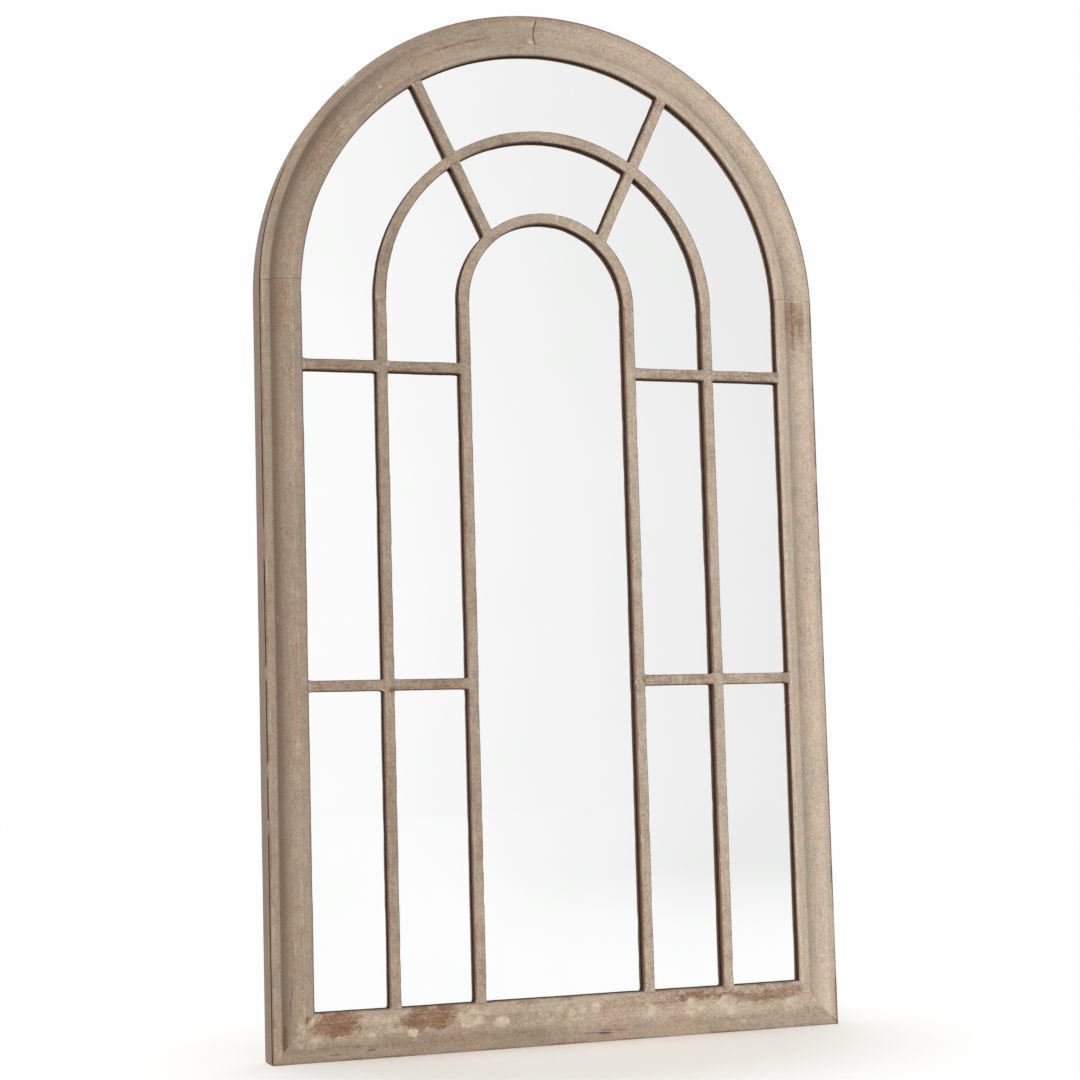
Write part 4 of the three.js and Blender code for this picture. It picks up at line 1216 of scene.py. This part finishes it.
wire_nodes = wire_tree()
for word in ("left", "right"):
    joint = next(j for j in frame["joints"] if j["child"] == f"ring_{word}")
    hinge = Vector(joint["pos_m"]) / MM
    low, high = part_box(f"hanger_ring_{word}")
    lean = math.asin(((high.y / MM - WIRE_RADIUS) - hinge.y) / RING_REACH)
    route = [
        (hinge.x + across, hinge.y + down * math.sin(lean), hinge.z - down * math.cos(lean))
        for across, down in ring_route()
    ]
    ring = grown(
        f"hanger_ring_{word}_wire", path_curve("ring_path", route), wire_nodes,
        radius=WIRE_RADIUS * MM, material=ring_zinc,
    )
    ring.data.set_sharp_from_angle(angle=math.radians(SHEET_CORNER))
    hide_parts(f"hanger_ring_{word}")
    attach(ring, f"ring_{word}")

    copy = bmesh.new()
    copy.from_mesh(frame["nodes"][f"hanger_strap_{word}"].data)
    bmesh.ops.remove_doubles(copy, verts=copy.verts, dist=1e-6)
    bmesh.ops.dissolve_limit(copy, angle_limit=math.radians(2), verts=copy.verts, edges=copy.edges)
    strap_mesh = bpy.data.meshes.new(f"hanger_strap_{word}_plate")
    copy.to_mesh(strap_mesh)
    copy.free()
    strap_mesh.materials.append(strap_zinc)
    strap = in_scene(f"hanger_strap_{word}_plate", strap_mesh)
    for polygon in strap_mesh.polygons:
        polygon.use_smooth = True
    deburred = strap.modifiers.new("deburred", "BEVEL")
    deburred.width = STRAP_EDGE * MM
    deburred.segments = 2
    deburred.limit_method = "ANGLE"
    deburred.angle_limit = math.radians(SHEET_CORNER)
    deburred.harden_normals = True
    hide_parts(f"hanger_strap_{word}")
    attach(strap, "mirror_frame")

# ------------------------------------------------------------------------------------------------
# Studio: a pale floor that glows, a large soft light from the left and in front, a weaker one overhead,
# and a white surround that the mirror reflects.
# ------------------------------------------------------------------------------------------------

FLOOR_HALF = 9.0
# Share of the floor's glow that lights the frame: painted light that stands in for light bounced off the
# floor.
FLOOR_GLOW_AS_BOUNCE = 0.5
WORLD_LIGHT = 0.25
KEY_POWER = 470
TOP_POWER = 46
RIGHT_OF_ROOM = (0.24, 0.45)

floor_mesh = bpy.data.meshes.new("studio_floor")
corners = ((-1, -1), (1, -1), (1, 1), (-1, 1))
floor_mesh.from_pydata([(x * FLOOR_HALF, y * FLOOR_HALF, 0) for x, y in corners], [], [(0, 1, 2, 3)])
floor = in_scene("studio_floor", floor_mesh)

# Matt white floor that glows: weakly round the frame's foot, where the lamps light it, and white farther out,
# fading into the white surround. The glow is painted light, and the warm tint by the foot is a painted warm
# reflection of the wood. What the mirror shows of it is painted a little darker to the right and far in
# front.
floor_paint = bpy.data.materials.new("matt_white_floor")
floor_paint.use_nodes = True
tree = floor_paint.node_tree
painted = tree.nodes["Principled BSDF"]
painted.inputs["Roughness"].default_value = 0.7
painted.inputs["Specular IOR Level"].default_value = 0.0
painted.inputs["Emission Color"].default_value = linear("#ffffff")
spot = add(tree, "ShaderNodeTexCoord").outputs["Object"]
side = add(tree, "ShaderNodeSeparateXYZ", {"Vector": spot}).outputs
away = add(tree, "ShaderNodeVectorMath", {0: spot}, operation="LENGTH").outputs["Value"]
far = add(tree, "ShaderNodeMapRange", {
    "Value": away, "From Min": 0.24, "From Max": 0.6,
}, interpolation_type="SMOOTHSTEP")
ends = {"Factor": far, 6: linear("#f4ede1"), 7: linear("#202020")}
paint = add(tree, "ShaderNodeMix", ends, data_type="RGBA")
tree.links.new(paint.outputs[2], painted.inputs["Base Color"])
floor_glow = add(tree, "ShaderNodeMapRange", {"Value": far, "To Min": 0.28, "To Max": 0.99})
beyond = add(tree, "ShaderNodeMapRange", {
    "Value": side["Y"], "From Min": -0.8, "From Max": -4.0,
}, interpolation_type="SMOOTHSTEP")
bearing = add(tree, "ShaderNodeMath", {0: side["X"], 1: away}, operation="DIVIDE")
dimmer = add(tree, "ShaderNodeMapRange", {
    "Value": bearing, "From Min": RIGHT_OF_ROOM[0], "From Max": RIGHT_OF_ROOM[1],
    "To Min": 0.0, "To Max": 0.14,
})
ray = add(tree, "ShaderNodeLightPath").outputs
for factor in (beyond, ray["Is Glossy Ray"]):
    dimmer = add(tree, "ShaderNodeMath", {0: dimmer, 1: factor}, operation="MULTIPLY")
floor_glow = add(tree, "ShaderNodeMath", {0: floor_glow, 1: dimmer}, operation="SUBTRACT")
seen = add(tree, "ShaderNodeMath", {0: ray["Is Camera Ray"], 1: ray["Is Glossy Ray"]}, operation="MAXIMUM")
seen = add(tree, "ShaderNodeMapRange", {"Value": seen, "To Min": FLOOR_GLOW_AS_BOUNCE, "To Max": 1.0})
floor_glow = add(tree, "ShaderNodeMath", {0: floor_glow, 1: seen}, operation="MULTIPLY")
tree.links.new(floor_glow.outputs[0], painted.inputs["Emission Strength"])
floor_mesh.materials.append(floor_paint)

# The surround is white to the eye and in the mirror, but lights the mirror only weakly, so that the two
# soft lights model it. Its reflection darkens a little to the right and overhead, as a room's does.
world = bpy.data.worlds.new("white_studio")
world.use_nodes = True
bpy.context.scene.world = world
tree = world.node_tree
tree.nodes.clear()
ray = add(tree, "ShaderNodeLightPath").outputs
seen = add(tree, "ShaderNodeMath", {0: ray["Is Camera Ray"], 1: ray["Is Glossy Ray"]}, operation="MAXIMUM")
sky_place = add(tree, "ShaderNodeTexCoord").outputs["Generated"]
toward = add(tree, "ShaderNodeSeparateXYZ", {"Vector": sky_place}).outputs
falloff = 1.0
for axis, (near, far), darkest in (("X", RIGHT_OF_ROOM, 0.85), ("Z", (0.12, 0.27), 0.96)):
    shade = add(tree, "ShaderNodeMapRange", {
        "Value": toward[axis], "From Min": near, "From Max": far, "To Min": 1.0, "To Max": darkest,
    })
    falloff = add(tree, "ShaderNodeMath", {0: falloff, 1: shade}, operation="MULTIPLY")
room = add(tree, "ShaderNodeMapRange", {
    "Value": toward["Y"], "From Min": -0.2, "From Max": -0.7,
}, interpolation_type="SMOOTHSTEP")
room = add(tree, "ShaderNodeMath", {0: room, 1: ray["Is Glossy Ray"]}, operation="MULTIPLY")
strength = add(tree, "ShaderNodeMix", {"Factor": room, 2: 1.0, 3: falloff}, data_type="FLOAT")
strength = add(tree, "ShaderNodeMix", {"Factor": seen, 2: WORLD_LIGHT, 3: strength}, data_type="FLOAT")
sky = add(tree, "ShaderNodeBackground", {"Color": linear("#fefefe"), "Strength": strength})
add(tree, "ShaderNodeOutputWorld", {"Surface": sky})


def softbox(name, place, aim, size, power):
    """A square area light aimed at a point."""
    data = bpy.data.lights.new(name, "AREA")
    data.shape = "SQUARE"
    data.size = size
    data.energy = power
    aimed = (Vector(aim) - Vector(place)).to_track_quat("-Z", "Y").to_matrix().to_4x4()
    in_scene(name, data).matrix_world = Matrix.Translation(place) @ aimed


softbox("key_softbox", (-4.6, -6.4, 1.5), (0, 0, 0.75), 2.6, KEY_POWER)
softbox("top_softbox", (0.2, 1.1, 3.2), (0, -0.3, 0), 2.0, TOP_POWER)
bpy.context.scene.view_settings.view_transform = "Standard"
